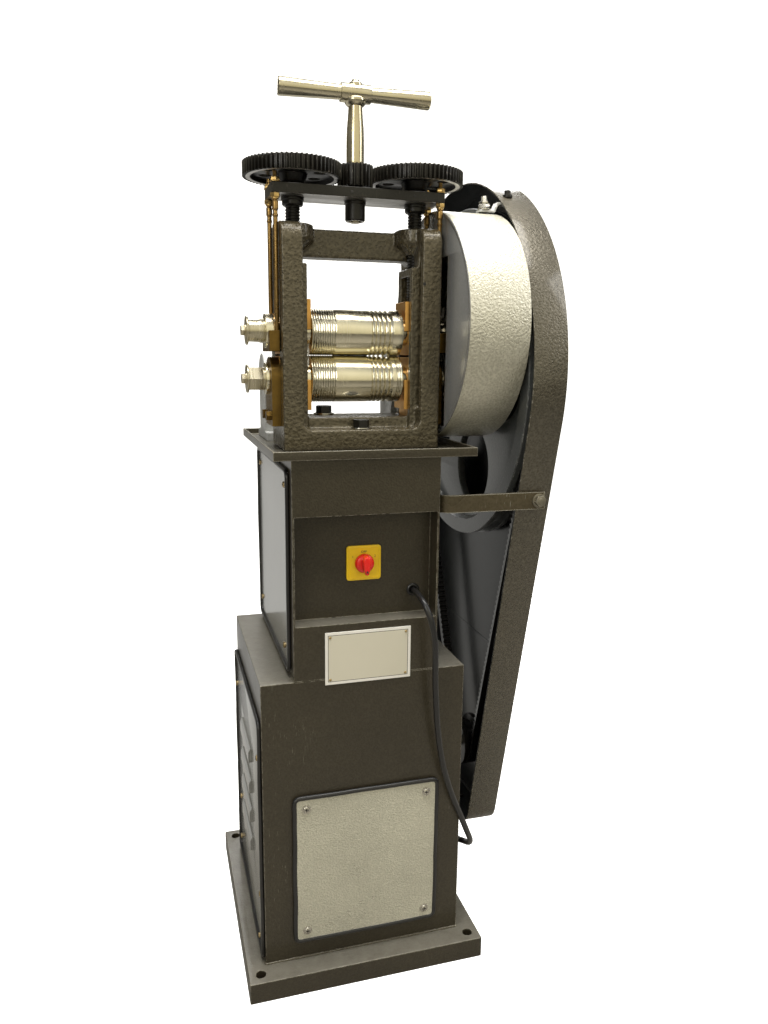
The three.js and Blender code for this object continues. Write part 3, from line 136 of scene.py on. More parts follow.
lead_route = through(lead_points, 8)
lead_sheath = soft_tube(lead_route, lead_radius, sides=4)
lead_sheath.name = "switch_lead"
lead_sheath.shade_smooth()
lead = set_out("switch_lead", lead_sheath)
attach(lead, "frame")
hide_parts("switch_cable")

# The studio, in metres: a pale floor that sweeps up behind the mill in one curve, a pale room
# round it, and five area lights.
sweep_front, sweep_start, sweep_radius, sweep_height, sweep_half = -7.0, 3.2, 1.8, 5.0, 9.0
sweep_line = [(sweep_front, 0.0), (sweep_start, 0.0)]
sweep_line += [
    (sweep_start + sweep_radius * math.sin(turn), sweep_radius - sweep_radius * math.cos(turn))
    for turn in (math.radians(6 * step) for step in range(1, 16))
]
sweep_line.append((sweep_start + sweep_radius, sweep_height))
sweep_mesh = bpy.data.meshes.new("studio_floor")
sweep_mesh.from_pydata(
    [(side * sweep_half, y, z) for y, z in sweep_line for side in (-1, 1)],
    [],
    [(2 * row, 2 * row + 1, 2 * row + 3, 2 * row + 2) for row in range(len(sweep_line) - 1)],
)
sweep_mesh.shade_smooth()
studio_floor = set_out("studio_floor", sweep_mesh)


def wired(tree, kind, sockets=None, **settings):
    """Adds a shader node with its settings, and sets or links its sockets."""
    made = tree.nodes.new("ShaderNode" + kind)
    for name, value in settings.items():
        setattr(made, name, value)
    for name, value in (sockets or {}).items():
        socket = made.inputs[name]
        if isinstance(value, bpy.types.NodeSocket):
            tree.links.new(value, socket)
        else:
            socket.default_value = (*value, 1) if socket.type == "RGBA" else value
    return made


def ranged(tree, value, low=0.0, high=1.0, to_low=0.0, to_high=1.0):
    """A value carried over from one range to another, and held within it."""
    ends = {"From Min": low, "From Max": high, "To Min": to_low, "To Max": to_high}
    return wired(tree, "MapRange", {"Value": value, **ends}).outputs[0]


def reckoned(tree, operation, *values):
    """The result of a sum with one to three values."""
    return wired(tree, "Math", dict(enumerate(values)), operation=operation).outputs[0]


def vectored(tree, operation, first, second):
    """The result of a sum with vectors; to scale one, the second value is a number."""
    sockets = {0: first, "Scale" if operation == "SCALE" else 1: second}
    made = wired(tree, "VectorMath", sockets, operation=operation)
    return made.outputs["Value" if operation == "DOT_PRODUCT" else "Vector"]


def split(tree, vector):
    """The outputs that give one coordinate each."""
    return wired(tree, "SeparateXYZ", {"Vector": vector}).outputs


def crossed(tree, share, first, second):
    """Two shaders mixed by a share."""
    return wired(tree, "MixShader", {0: share, 1: first, 2: second}).outputs[0]


def new_material(name):
    """A material with its own nodes cleared, and the output node ready."""
    made = bpy.data.materials.new(name)
    made.use_nodes = True
    made.node_tree.nodes.clear()
    return made, made.node_tree, made.node_tree.nodes.new("ShaderNodeOutputMaterial").inputs["Surface"]


# The floor is white to the camera. To the object it is dim in front, and bright low behind.
floor_paper, tree, surface = new_material("floor_paper")
paper_mottle = wired(tree, "TexNoise", {"Scale": 1.5, "Detail": 3}).outputs["Fac"]
paper_seen = wired(tree, "BsdfPrincipled", {
    "Base Color": ranged(tree, paper_mottle, to_low=0.8, to_high=0.84), "Roughness": 0.7,
    "Emission Color": (1, 1, 1), "Emission Strength": 0.85,
}).outputs[0]
paper_dim = wired(tree, "BsdfDiffuse", {"Color": (0.2, 0.19, 0.17)}).outputs[0]
paper_lit = wired(tree, "Emission", {"Color": (1.0, 0.985, 0.93), "Strength": 0.6}).outputs[0]
paper_place = split(tree, wired(tree, "NewGeometry").outputs["Position"])
paper_share = reckoned(
    tree, "MULTIPLY", ranged(tree, paper_place["Y"], 0.0, 0.7), ranged(tree, paper_place["Z"], 0.6, 0.1),
)
paper_bounce = crossed(tree, paper_share, paper_dim, paper_lit)
camera_ray = wired(tree, "LightPath").outputs["Is Camera Ray"]
tree.links.new(crossed(tree, camera_ray, paper_bounce, paper_seen), surface)
sweep_mesh.materials.append(floor_paper)

# The softboxes: a large one overhead with a fill beside it that leaves no highlight, and smaller
# ones at the front left, the right and the back.
for name, place, aim, size, power, tint in [
    ("overhead_softbox", (0.1, -0.4, 2.75), (0.1, 0.0, 0.9), (2.1, 1.2), 50, (1.0, 0.975, 0.93)),
    ("overhead_fill", (0.1, -0.4, 2.8), (0.1, 0.0, 0.9), (2.1, 1.2), 125, (1.0, 0.975, 0.93)),
    ("front_softbox", (-2.3, -2.6, 1.9), (0.0, 0.0, 0.7), (1.2, 1.7), 22, (1.0, 0.98, 0.94)),
    ("right_softbox", (2.3, -1.2, 2.1), (0.1, 0.0, 0.9), (0.7, 1.6), 14, (1.0, 0.99, 0.97)),
    ("rear_softbox", (0.6, 2.4, 2.4), (0.0, 0.0, 0.8), (2.0, 1.2), 30, (1.0, 1.0, 1.0)),
]:
    softbox = bpy.data.lights.new(name, "AREA")
    softbox.shape = "RECTANGLE"
    softbox.size, softbox.size_y = size
    softbox.energy = power
    softbox.color = tint
    holder = set_out(name, softbox)
    holder.location = place
    holder.rotation_euler = (Vector(aim) - Vector(place)).to_track_quat("-Z", "Y").to_euler()
    holder.visible_glossy = name != "overhead_fill"

# The room is white to the camera. To the object it is darker low down, with a warm glow in front.
room = bpy.data.worlds.new("studio")
room.use_nodes = True
bpy.context.scene.world = room
tree = room.node_tree
tree.nodes.clear()
room_way = split(tree, wired(tree, "TexCoord").outputs["Generated"])
room_shade = wired(tree, "ValToRGB", {"Fac": room_way["Z"]})
for element, position, shade in zip(
    room_shade.color_ramp.elements, (0.0, 0.45), ((0.13, 0.12, 0.105, 1), (0.9, 0.9, 0.88, 1)),
):
    element.position = position
    element.color = shade
room_dim = vectored(tree, "SCALE", room_shade.outputs[0], 0.36)
room_glow = vectored(tree, "SCALE", (0.72, 0.66, 0.46), ranged(tree, room_way["Y"], -0.45, -0.85))
room_light = wired(tree, "Background", {"Color": vectored(tree, "ADD", room_dim, room_glow)}).outputs[0]
backdrop = wired(tree, "Background", {"Color": (1, 1, 1)}).outputs[0]
camera_ray = wired(tree, "LightPath").outputs["Is Camera Ray"]
tree.links.new(crossed(tree, camera_ray, room_light, backdrop), wired(tree, "OutputWorld").inputs["Surface"])
bpy.context.scene.view_settings.view_transform = "Standard"


# The base plate: thick steel, painted all over in a dark olive hammer finish, with a drilled
# anchor hole near each corner. The same paint covers the cabinets, the tray and the belt guard.
def effect(name, inputs, outputs):
    """Starts a node group for an effect that several finishes share."""
    group = bpy.data.node_groups.new(name, "ShaderNodeTree")
    for socket, value in inputs.items():
        kind = "NodeSocketVector" if isinstance(value, tuple) else "NodeSocketFloat"
        group.interface.new_socket(socket, in_out="INPUT", socket_type=kind).default_value = value
    for socket in outputs:
        group.interface.new_socket(socket, in_out="OUTPUT", socket_type="NodeSocketFloat")
    return group, group.nodes.new("NodeGroupInput").outputs, group.nodes.new("NodeGroupOutput").inputs


def placed(tree, group, sockets):
    """Puts a shared effect into a material, with that material's own values."""
    made = tree.nodes.new("ShaderNodeGroup")
    made.node_tree = group
    for name, value in sockets.items():
        made.inputs[name].default_value = value
    return made.outputs


def object_place(tree):
    """The place on the piece that is shaded, in metres."""
    return wired(tree, "TexCoord").outputs["Object"]


def grain(tree, where, scale, detail, roughness=0.5, distortion=0.0):
    """A mask of even noise, at so many cells to the metre."""
    return wired(tree, "TexNoise", {
        "Vector": where, "Scale": scale, "Detail": detail, "Roughness": roughness, "Distortion": distortion,
    }).outputs["Fac"]


# Hammered paint: soft dimples that run into each other, with a finer orange peel between them
hammered, given, out = effect("hammered_paint", {"Scale": 300.0, "Warp": 0.6}, ["Height", "Tone"])
where = object_place(hammered)
sway = wired(hammered, "TexNoise", {"Vector": where, "Scale": given["Scale"], "Detail": 1.5})
sway_way = vectored(hammered, "SUBTRACT", sway.outputs["Color"], (0.5, 0.5, 0.5))
sway_reach = reckoned(hammered, "DIVIDE", given["Warp"], given["Scale"])
swayed = vectored(hammered, "ADD", where, vectored(hammered, "SCALE", sway_way, sway_reach))
dimples = wired(
    hammered, "TexVoronoi", {"Vector": swayed, "Scale": given["Scale"], "Smoothness": 0.9},
    feature="SMOOTH_F1",
)
peel = grain(hammered, where, reckoned(hammered, "MULTIPLY", given["Scale"], 2.2), 2)
rise = reckoned(hammered, "ADD", dimples.outputs["Distance"], reckoned(hammered, "MULTIPLY", peel, 0.35))
hammered.links.new(rise, out["Height"])
hammered.links.new(ranged(hammered, rise, 0.35, 0.85), out["Tone"])

# Worn edges: where the surface turns sharply, broken up by noise, as paint chips off a corner
worn, given, out = effect("worn_edges", {"Width": 0.0012, "Grain": 160.0, "Amount": 0.5}, ["Mask"])
rounded = wired(worn, "Bevel", {"Radius": given["Width"]}, samples=4).outputs[0]
alike = vectored(worn, "DOT_PRODUCT", rounded, wired(worn, "NewGeometry").outputs["Normal"])
chips = grain(worn, object_place(worn), given["Grain"], 4, 0.65)
chip_low = reckoned(worn, "SUBTRACT", 1.0, given["Amount"])
chipped = ranged(worn, chips, chip_low, reckoned(worn, "ADD", chip_low, 0.12))
worn.links.new(reckoned(worn, "MULTIPLY", ranged(worn, alike, 0.995, 0.9), chipped), out["Mask"])

# Stains and scuffs: broad clouds for uneven gloss, and sparse scratches for handling marks
stained, given, out = effect("stains_and_scuffs", {"Scale": 9.0, "Scratch": 0.5}, ["Cloud", "Scuff"])
where = object_place(stained)
clouds = grain(stained, where, given["Scale"], 5, 0.6)
stained.links.new(clouds, out["Cloud"])
long_way = vectored(stained, "MULTIPLY", where, (750.0, 750.0, 70.0))
scratch_line = ranged(stained, grain(stained, long_way, 1.0, 3, distortion=0.4), 0.66, 0.73)
scratch_there = reckoned(stained, "MULTIPLY", scratch_line, ranged(stained, clouds, 0.52, 0.66))
stained.links.new(reckoned(stained, "MULTIPLY", scratch_there, given["Scratch"]), out["Scuff"])

# Dust, hand marks and painted sheen: a pale tone, thin and broken up, only where a face looks upwards.
# It stands for settled dust and in part for the overhead lights' highlight on top faces
dust_and_sheen, given, out = effect("dust_and_top_sheen", {"Scale": 60.0, "Amount": 0.4}, ["Mask"])
upward = ranged(dust_and_sheen, split(dust_and_sheen, wired(dust_and_sheen, "NewGeometry").outputs["True Normal"])["Z"], 0.75, 0.98)
specks = ranged(dust_and_sheen, grain(dust_and_sheen, object_place(dust_and_sheen), given["Scale"], 6, 0.75), 0.3, 0.7, 0.6, 1.0)
dust_and_sheen_there = reckoned(dust_and_sheen, "MULTIPLY", upward, specks)
dust_and_sheen.links.new(reckoned(dust_and_sheen, "MULTIPLY", dust_and_sheen_there, given["Amount"]), out["Mask"])
dust_and_sheen_tone = (0.3, 0.29, 0.25)


def mixed(tree, share, first, second):
    """The colour between two others, by a mask."""
    return wired(tree, "Mix", {0: share, 6: first, 7: second}, data_type="RGBA").outputs[2]


def bumped(tree, height, strength, distance):
    """The normal of a surface with a relief, whose height is in metres."""
    return wired(tree, "Bump", {"Height": height, "Strength": strength, "Distance": distance}).outputs[0]


def paint(
    name, colour, bright, gloss, cell, depth, metal=0.0, wear=0.5, worn_colour=(0.32, 0.3, 0.24), warp=0.6,
    coat=0.25, scratch=0.4, mottle=0.12, dust_and_sheen_share=0.0,
):
    """A sprayed metal paint with its own hammer texture, uneven gloss, chipped edges, and dust with a painted
    sheen on upward faces.

    Its dimples come at so many cells to the metre, and their depth is in metres.
    """
    made, tree, surface = new_material(name)
    texture = placed(tree, hammered, {"Scale": cell, "Warp": warp})
    edges = placed(tree, worn, {"Width": 0.0016, "Grain": 140.0, "Amount": wear})
    marks = placed(tree, stained, {"Scale": 7.0, "Scratch": scratch})
    cloud = ranged(tree, marks["Cloud"], 0.3, 0.7, 1 - mottle, 1 + mottle)
    tone = vectored(tree, "SCALE", mixed(tree, texture["Tone"], colour, bright), cloud)
    # Upward faces are lightened: settled dust, and in part a painted sheen for the overhead light
    if dust_and_sheen_share:
        tone = mixed(tree, placed(tree, dust_and_sheen, {"Amount": dust_and_sheen_share})["Mask"], tone, dust_and_sheen_tone)
    bare = reckoned(tree, "MAXIMUM", edges["Mask"], marks["Scuff"])
    shader = wired(tree, "BsdfPrincipled", {
        "Base Color": mixed(tree, bare, tone, worn_colour), "Metallic": metal,
        "Roughness": ranged(tree, marks["Cloud"], 0.3, 0.7, gloss - 0.4 * mottle, gloss + 0.6 * mottle),
        "Coat Weight": coat, "Coat Roughness": 0.12, "Normal": bumped(tree, texture["Height"], 1.0, depth),
    })
    tree.links.new(shader.outputs[0], surface)
    return made


# Its upward faces get dust and a painted sheen.
olive_paint = paint(
    "olive_paint", (0.032, 0.026, 0.015), (0.043, 0.036, 0.022), 0.34, 420, 0.0002, metal=0.2, wear=0.6,
    dust_and_sheen_share=0.38,
)


def dress(nodes, material, ease=0.6):
    """Gives CAD solids their finish, and eases their sharp edges as the real ones' are."""
    for node in nodes:
        part = parts[node]
        part.data.materials.clear()
        part.data.materials.append(material)
        part.data.shade_smooth()
        part.modifiers.new("joined_corners", "WELD").merge_threshold = 0.00001
        eased_edges = part.modifiers.new("eased_edges", "BEVEL")
        eased_edges.width = ease / 1000
        eased_edges.segments = 2
        eased_edges.limit_method = "ANGLE"
        eased_edges.angle_limit = math.radians(38)
        part.modifiers.new("flat_faces_stay_flat", "WEIGHTED_NORMAL")


dress(["base_plate"], olive_paint, 1.2)


# The lower and the upper cabinet: folded and welded sheet, open where the covers sit. The joint
# between their fronts is filled and ground flush, and a weld bead runs round the foot.
def gathered(meshes, name):
    """Several meshes in one, still overlapping where they did, and the single ones taken away."""
    whole = bmesh.new()
    for mesh in meshes:
        whole.from_mesh(mesh)
        bpy.data.meshes.remove(mesh)
    return whole, bpy.data.meshes.new(name)


def finished(name, meshes, material, body, replaces=None, crease=35):
    """Makes one piece of several meshes, which rides on its body and has its finish."""
    whole, mesh = gathered(meshes, name)
    bmesh.ops.remove_doubles(whole, verts=whole.verts, dist=0.000001)
    bmesh.ops.recalc_face_normals(whole, faces=whole.faces)
    whole.to_mesh(mesh)
    whole.free()
    mesh.materials.clear()
    mesh.materials.append(material)
    mesh.polygons.foreach_set("material_index", [0] * len(mesh.polygons))
    mesh.shade_smooth()
    mesh.set_sharp_from_angle(angle=math.radians(crease))
    made = set_out(name, mesh)
    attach(made, body)
    if replaces:
        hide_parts(replaces)


def grid_mesh(rows, ends="capped"):
    """A mesh from rows of points that each go once round. Its ends are capped, open or looped."""
    count = len(rows[0])
    faces = []
    for row in range(len(rows) if ends == "looped" else len(rows) - 1):
        low, high = row * count, (row + 1) % len(rows) * count
        for step in range(count):
            after = (step + 1) % count
            faces.append((low + step, low + after, high + after, high + step))
    if ends == "capped":
        faces += [tuple(range(count)), tuple(range((len(rows) - 1) * count, len(rows) * count))]
    mesh = bpy.data.meshes.new("rows")
    mesh.from_pydata([mill_point(*point) for row in rows for point in row], [], faces)
    return mesh


def weld_bead(start, end, radius):
    """A hand laid weld: a rod with ripples and an uneven width, between two points."""
    ripple = 2.6
    start, end = Vector(start), Vector(end)
    along = (end - start).normalized()
    side = along.orthogonal().normalized()
    up = along.cross(side)
    rows = []
    count = max(3, round((end - start).length / ripple))
    for index in range(count + 1):
        centre = start.lerp(end, index / count)
        swell = radius * (0.85 + 0.3 * noise.noise(centre * 0.11) + 0.16 * (index % 2))
        rows.append([
            centre + (side * math.cos(turn) + up * math.sin(turn)) * swell
            for turn in (math.tau * corner / 8 for corner in range(8))
        ])
    return grid_mesh(rows)


def bar_mesh(x0, x1, y0, y1, z0, z1):
    """A plain bar between two corners, to be joined with others or eased."""
    return grid_mesh([[(x, y0, z0), (x, y1, z0), (x, y1, z1), (x, y0, z1)] for x in (x0, x1)])


dress(["lower_cabinet", "upper_cabinet"], olive_paint, 0.9)
base_top, shoulder, cabinet_depth = 31, 450.5, 297
lower_left, lower_right, upper_left, upper_right = -155.5, 131, -111, 89.5
foot = [(lower_left, 0), (lower_right, 0), (lower_right, cabinet_depth), (lower_left, cabinet_depth)]
neck = [(upper_left, 2), (upper_left, cabinet_depth), (upper_right, cabinet_depth), (upper_right, 2)]
beads = [
    weld_bead((*a, height), (*b, height), radius)
    for line, height, radius in ((foot + foot[:1], base_top + 0.6, 2.1), (neck, shoulder + 0.4, 1.7))
    for a, b in zip(line, line[1:])
]
bead_paint = paint(
    "bead_paint", (0.045, 0.038, 0.024), (0.08, 0.07, 0.05), 0.3, 420, 0.0003, metal=0.3, wear=0.62,
)
finished("cabinet_welds", beads, bead_paint, "frame", crease=60)
finished(
    "front_joint_filler",
    [bar_mesh(upper_left + 1, upper_right - 1, -0.02, 1.4, shoulder - 1.2, shoulder + 1.2)],
    olive_paint, "frame",
)


# The front access panel: a loose plate in silver hammer paint, held by four pan head screws on
# a black rubber edge strip that is laid round it by hand.
def rounded_outline(a0, a1, b0, b1, radius, steps=6):
    """A rectangle with round corners, as flat points."""
    corners = [
        (a1 - radius, b1 - radius, 0), (a0 + radius, b1 - radius, 90),
        (a0 + radius, b0 + radius, 180), (a1 - radius, b0 + radius, 270),
    ]
    points = []
    for a, b, start in corners:
        for step in range(steps + 1):
            turn = math.radians(start + 90 * step / steps)
            points.append((a + radius * math.cos(turn), b + radius * math.sin(turn)))
    return points


def spread(outline, gap):
    """The same closed outline with its long sides cut into short steps."""
    points = []
    for (a0, b0), (a1, b1) in zip(outline, outline[1:] + outline[:1]):
        count = max(1, round(math.hypot(a1 - a0, b1 - b0) / gap))
        points += [(a0 + (a1 - a0) * step / count, b0 + (b1 - b0) * step / count) for step in range(count)]
    return points


silver_hammer = paint(
    "silver_hammer", (0.45, 0.44, 0.355), (0.57, 0.553, 0.455), 0.3, 460, 0.0007, metal=0.4, wear=0.3,
    worn_colour=(0.6, 0.6, 0.58), warp=1.0, coat=0.25, scratch=0.0,
)
dress(["front_access_panel"], silver_hammer, 0.5)

rubber_strip, tree, surface = new_material("rubber_strip")
rubber_cloud = placed(tree, stained, {"Scale": 30.0, "Scratch": 0.3})["Cloud"]
rubber = wired(tree, "BsdfPrincipled", {
    "Base Color": mixed(tree, rubber_cloud, (0.003, 0.003, 0.0035), (0.01, 0.01, 0.0105)),
    "Roughness": ranged(tree, rubber_cloud, to_low=0.28, to_high=0.5), "Coat Weight": 0.4,
    "Normal": bumped(tree, rubber_cloud, 0.4, 0.0003),
})
tree.links.new(rubber.outputs[0], surface)
lead_sheath.materials.clear()
lead_sheath.materials.append(rubber_strip)

panel_left, panel_right, panel_bottom, panel_top, panel_face = -110.7, 91, 63.8, 280, -5
strip_radius, strip_out, strip_wander = 3.3, 2.2, 0.9
strip_line = [
    (
        x + strip_wander * noise.noise(Vector((x, 0, z)) * 0.02), -strip_radius,
        z + strip_wander * noise.noise(Vector((z, 7, x)) * 0.02),
    )
    for x, z in spread(rounded_outline(
        panel_left - strip_out, panel_right + strip_out, panel_bottom - strip_out, panel_top + strip_out, 7,
    ), 9)
]
finished(
    "panel_edge_strip", [soft_tube(strip_line, strip_radius, closed=True, sides=4)],
    rubber_strip, "frame", "front_panel_trim", 60,
)

# Steel hardware: zinc plated pan head screws with a cross recess, each on a small washer. Bare
# metal has tool lines one way, which all its finishes share.
lined, given, out = effect("fine_lines", {"Stretch": (900.0, 12.0, 12.0)}, ["Height", "Tone"])
lines = grain(lined, vectored(lined, "MULTIPLY", object_place(lined), given["Stretch"]), 1.0, 3, 0.6)
lined.links.new(lines, out["Height"])
lined.links.new(ranged(lined, lines, 0.35, 0.65), out["Tone"])


def bare_metal(
    name, colour, dark, gloss, stretch, depth=0.00004, tarnish=0.35, wear=0.0, worn_colour=(0.7, 0.7, 0.68),
):
    """Machined metal with tool lines, patches of tarnish, and rubbed edges where asked for."""
    made, tree, surface = new_material(name)
    lines = placed(tree, lined, {"Stretch": stretch})
    marks = placed(tree, stained, {"Scale": 22.0, "Scratch": 0.6})
    patch = ranged(tree, marks["Cloud"], 0.42, 0.72, to_high=tarnish)
    shade = mixed(tree, patch, colour, dark)
    rough = ranged(tree, lines["Tone"], to_low=gloss - 0.05, to_high=gloss + 0.09)
    if wear:
        edges = placed(tree, worn, {"Width": 0.0008, "Grain": 300.0, "Amount": wear})
        shade = mixed(tree, edges["Mask"], shade, worn_colour)
    shader = wired(tree, "BsdfPrincipled", {
        "Base Color": shade, "Metallic": 1.0, "Roughness": reckoned(tree, "MULTIPLY_ADD", patch, 0.3, rough),
        "Normal": bumped(tree, lines["Height"], 1.0, depth),
    })
    tree.links.new(shader.outputs[0], surface)
    return made


bright_steel = bare_metal("bright_steel", (0.58, 0.56, 0.5), (0.36, 0.33, 0.27), 0.2, (900.0, 10.0, 10.0))


def on_axis(axis, along, a, b):
    """A point by its distance along an axis and its two other coordinates."""
    return {"x": (along, a, b), "y": (a, along, b), "z": (a, b, along)}[axis]


def circle(radius, a, b, sides, start=0.0):
    """A circle as flat points, or a regular shape with few sides."""
    turns = [start + math.tau * side / sides for side in range(sides)]
    return [(a + radius * math.cos(turn), b + radius * math.sin(turn)) for turn in turns]


def round_rows(axis, profile, a, b, sides, ease):
    """Rows of points round an axis, from a turned profile whose corners are rounded."""
    smooth = [Vector(profile[0])]
    for before, corner, after in zip(profile, profile[1:], profile[2:]):
        corner = Vector(corner)
        back, on = Vector(before) - corner, Vector(after) - corner
        reach = min(ease, back.length * 0.45, on.length * 0.45)
        start, stop = corner + back.normalized() * reach, corner + on.normalized() * reach
        smooth += [start, (start + stop) / 4 + corner / 2, stop]
    smooth.append(Vector(profile[-1]))
    return [
        [on_axis(axis, along, *point) for point in circle(radius, a, b, sides)] for along, radius in smooth
    ]


def turned(axis, profile, a, b, sides=48, ease=0.4, start=0.0):
    """A part turned on a lathe, from pairs of distance along its axis and radius, with solid ends."""
    line = [(start + along, radius) for along, radius in profile]
    line.insert(0, (line[0][0], 0))
    if line[-1][1]:
        line.append((line[-1][0], 0))
    return grid_mesh(round_rows(axis, line, a, b, sides, ease))


def disc(axis, low, high, radius, a, b, sides=40, ease=0.4):
    """A turned disc or a plain pin."""
    return turned(axis, [(low, radius), (high, radius)], a, b, sides, ease)


def turned_ring(axis, low, high, outer, inner, a, b, sides=48, ease=0.4):
    """A turned ring: its profile goes up the bore and back down the outside."""
    middle = (outer + inner) / 2
    profile = [(low, middle), (low, inner), (high, inner), (high, outer), (low, outer), (low, middle)]
    return grid_mesh(round_rows(axis, profile, a, b, sides, ease), "open")


# Black for holes and recesses: painted shade where the real part has a hollow, with a faint mottle
painted_recess_shade, tree, surface = new_material("painted_recess_shade")
recess_shade_cloud = placed(tree, stained, {"Scale": 200.0, "Scratch": 0.0})["Cloud"]
recess_shade_shader = wired(tree, "BsdfPrincipled", {
    "Base Color": mixed(tree, recess_shade_cloud, (0.004, 0.004, 0.004), (0.02, 0.018, 0.015)), "Roughness": 0.6,
})
tree.links.new(recess_shade_shader.outputs[0], surface)


def pan_screws(name, axis, places, radius, washer, metal):
    """Pan head screws that face left or forwards, with black crosses let a little into them as painted shade
    in their recesses.
    """
    rise = radius * 0.62
    heads, crosses = [], []
    for a, b, seat in places:
        dome = [(seat, radius), (seat - rise * 0.45, radius)]
        dome += [
            (seat - rise * (0.45 + 0.55 * math.sin(turn)), radius * math.cos(turn))
            for turn in (math.radians(18 * step) for step in range(1, 5))
        ]
        heads.append(turned(axis, [*dome, (seat - rise, 0.0)], a, b, 20, 0.1))
        if washer:
            heads.append(disc(axis, seat, seat - 0.9, washer, a, b, 24, 0.2))
        # Each cross recess is a black box: painted shade in the recess
        for long_a, long_b in ((0.62, 0.13), (0.13, 0.62)):
            corners = [(-long_a, -long_b), (long_a, -long_b), (long_a, long_b), (-long_a, long_b)]
            crosses.append(grid_mesh([
                [on_axis(axis, seat - rise * lift, a + radius * u, b + radius * v) for u, v in corners]
                for lift in (0.4, 1.02)
            ]))
    finished(name + "s", heads, metal, "frame", crease=50)
    finished(name + "_crosses", crosses, painted_recess_shade, "frame")


screw_inset = 14
pan_screws(
    "panel_screw", "y",
    [
        (x, z, panel_face)
        for x in (panel_left + screw_inset, panel_right - screw_inset)
        for z in (panel_bottom + screw_inset, panel_top - screw_inset)
    ],
    4.6, 6.5, bright_steel,
)


# The two covers on the left side: grey painted plates, the lower one with four pressed louvres
# that open downwards, both with a black rubber edge strip and small screws.
def cut_plate(axis, outlines, low, high, ease=0.5, steps=1):
    """A flat part sawn or cast to an outline, with holes and eased edges."""
    drawing = bpy.data.curves.new("outline", "CURVE")
    drawing.dimensions = "2D"
    drawing.fill_mode = "BOTH"
    drawing.extrude = (high - low) / 2 - ease
    drawing.bevel_depth = ease
    drawing.offset = -ease
    drawing.bevel_resolution = steps
    for points in outlines:
        run = drawing.splines.new("POLY")
        run.points.add(len(points) - 1)
        for point, (a, b) in zip(run.points, points):
            point.co = (a, b, 0, 1)
        run.use_cyclic_u = True
    mesh = settled(set_out("outline", drawing))
    along = (low + high) / 2
    for vertex in mesh.vertices:
        vertex.co = mill_point(*on_axis(axis, along + vertex.co.z, vertex.co.x, vertex.co.y))
    return mesh


side_grey = paint(
    "side_grey", (0.255, 0.257, 0.243), (0.28, 0.282, 0.268), 0.22, 500, 0.00001, metal=0.5, wear=0.35,
    worn_colour=(0.6, 0.6, 0.58), coat=0.5, scratch=0.0, mottle=0.05,
)
dress(["upper_side_cover"], side_grey, 0.5)
upper_cover, upper_cover_x = (19, 291, 460.5, 729.5), -113
lower_cover, lower_cover_x, cover_corner = (8, 290, 37, 393), -157.5, 9
louvre_front, louvre_rear, louvre_height, louvre_sheet = 106, 214, 22, 1.2
louvre_lows = (142, 189, 236, 286)
louvre_out = lower_cover_x - 4.4
louvre_root = lower_cover_x + 0.5
louvre_slots = [
    [(louvre_front + 2, low), (louvre_rear - 2, low), (louvre_rear - 2, high), (louvre_front + 2, high)]
    for low, high in ((low, low + louvre_height - 4) for low in louvre_lows)
]
louvred = [cut_plate(
    "x", [rounded_outline(*lower_cover, cover_corner), *louvre_slots], lower_cover_x, lower_left - 0.05, 0.4,
)]
for low in louvre_lows:
    high = low + louvre_height
    hood = [
        (louvre_root, high), (lower_cover_x - 1.2, high - 0.6), (louvre_out + 0.7, high - 4.4),
        (louvre_out, high - 6.2), (louvre_out, low), (louvre_out + louvre_sheet, low),
        (louvre_out + louvre_sheet, high - 6.4), (louvre_root, high - 2.4),
    ]
    cheek = [
        (louvre_root, high - 1), (lower_cover_x - 1.0, high - 0.9), (louvre_out + 0.8, high - 4.7),
        (louvre_out + 0.1, high - 6.4), (louvre_out + 0.1, low), (louvre_root, low),
    ]
    for outline, near, far in (
        (hood, louvre_front, louvre_rear),
        (cheek, louvre_front - 0.05, louvre_front + louvre_sheet),
        (cheek, louvre_rear - louvre_sheet - 0.05, louvre_rear),
    ):
        louvred.append(grid_mesh([[(x, y, z) for x, z in outline] for y in (near, far)]))
finished("louvred_cover", louvred, side_grey, "frame", "lower_side_cover", 30)

for name, cover_x, (y0, y1, z0, z1) in [
    ("upper_cover_strip", upper_cover_x, upper_cover), ("lower_cover_strip", lower_cover_x, lower_cover),
]:
    strip_line = []
    for y, z in spread(rounded_outline(y0 - 0.5, y1 + 0.5, z0 - 0.5, z1 + 0.5, cover_corner), 12):
        out_wander = 0.5 * noise.noise(Vector((y, z, 3)) * 0.015)
        strip_line.append((cover_x - 0.4 + out_wander, y + 0.8 * noise.noise(Vector((z, y, 0)) * 0.012), z))
    finished(
        name, [soft_tube(strip_line, 3.1, closed=True)], rubber_strip, "frame", crease=60,
    )

screw_brass = bare_metal("screw_brass", (0.55, 0.42, 0.22), (0.2, 0.14, 0.07), 0.3, (300.0, 300.0, 300.0))
upper_screws = [(274.5, 709), (43, 710), (277, 486.5), (57, 483)]
lower_screws = [(288, 335), (32, 332), (264, 141), (278, 57), (28, 124), (49, 40)]
cover_screws = [(*place, upper_cover_x) for place in upper_screws]
cover_screws += [(*place, lower_cover_x) for place in lower_screws]
pan_screws("side_cover_screw", "x", cover_screws, 4.2, 0, screw_brass)

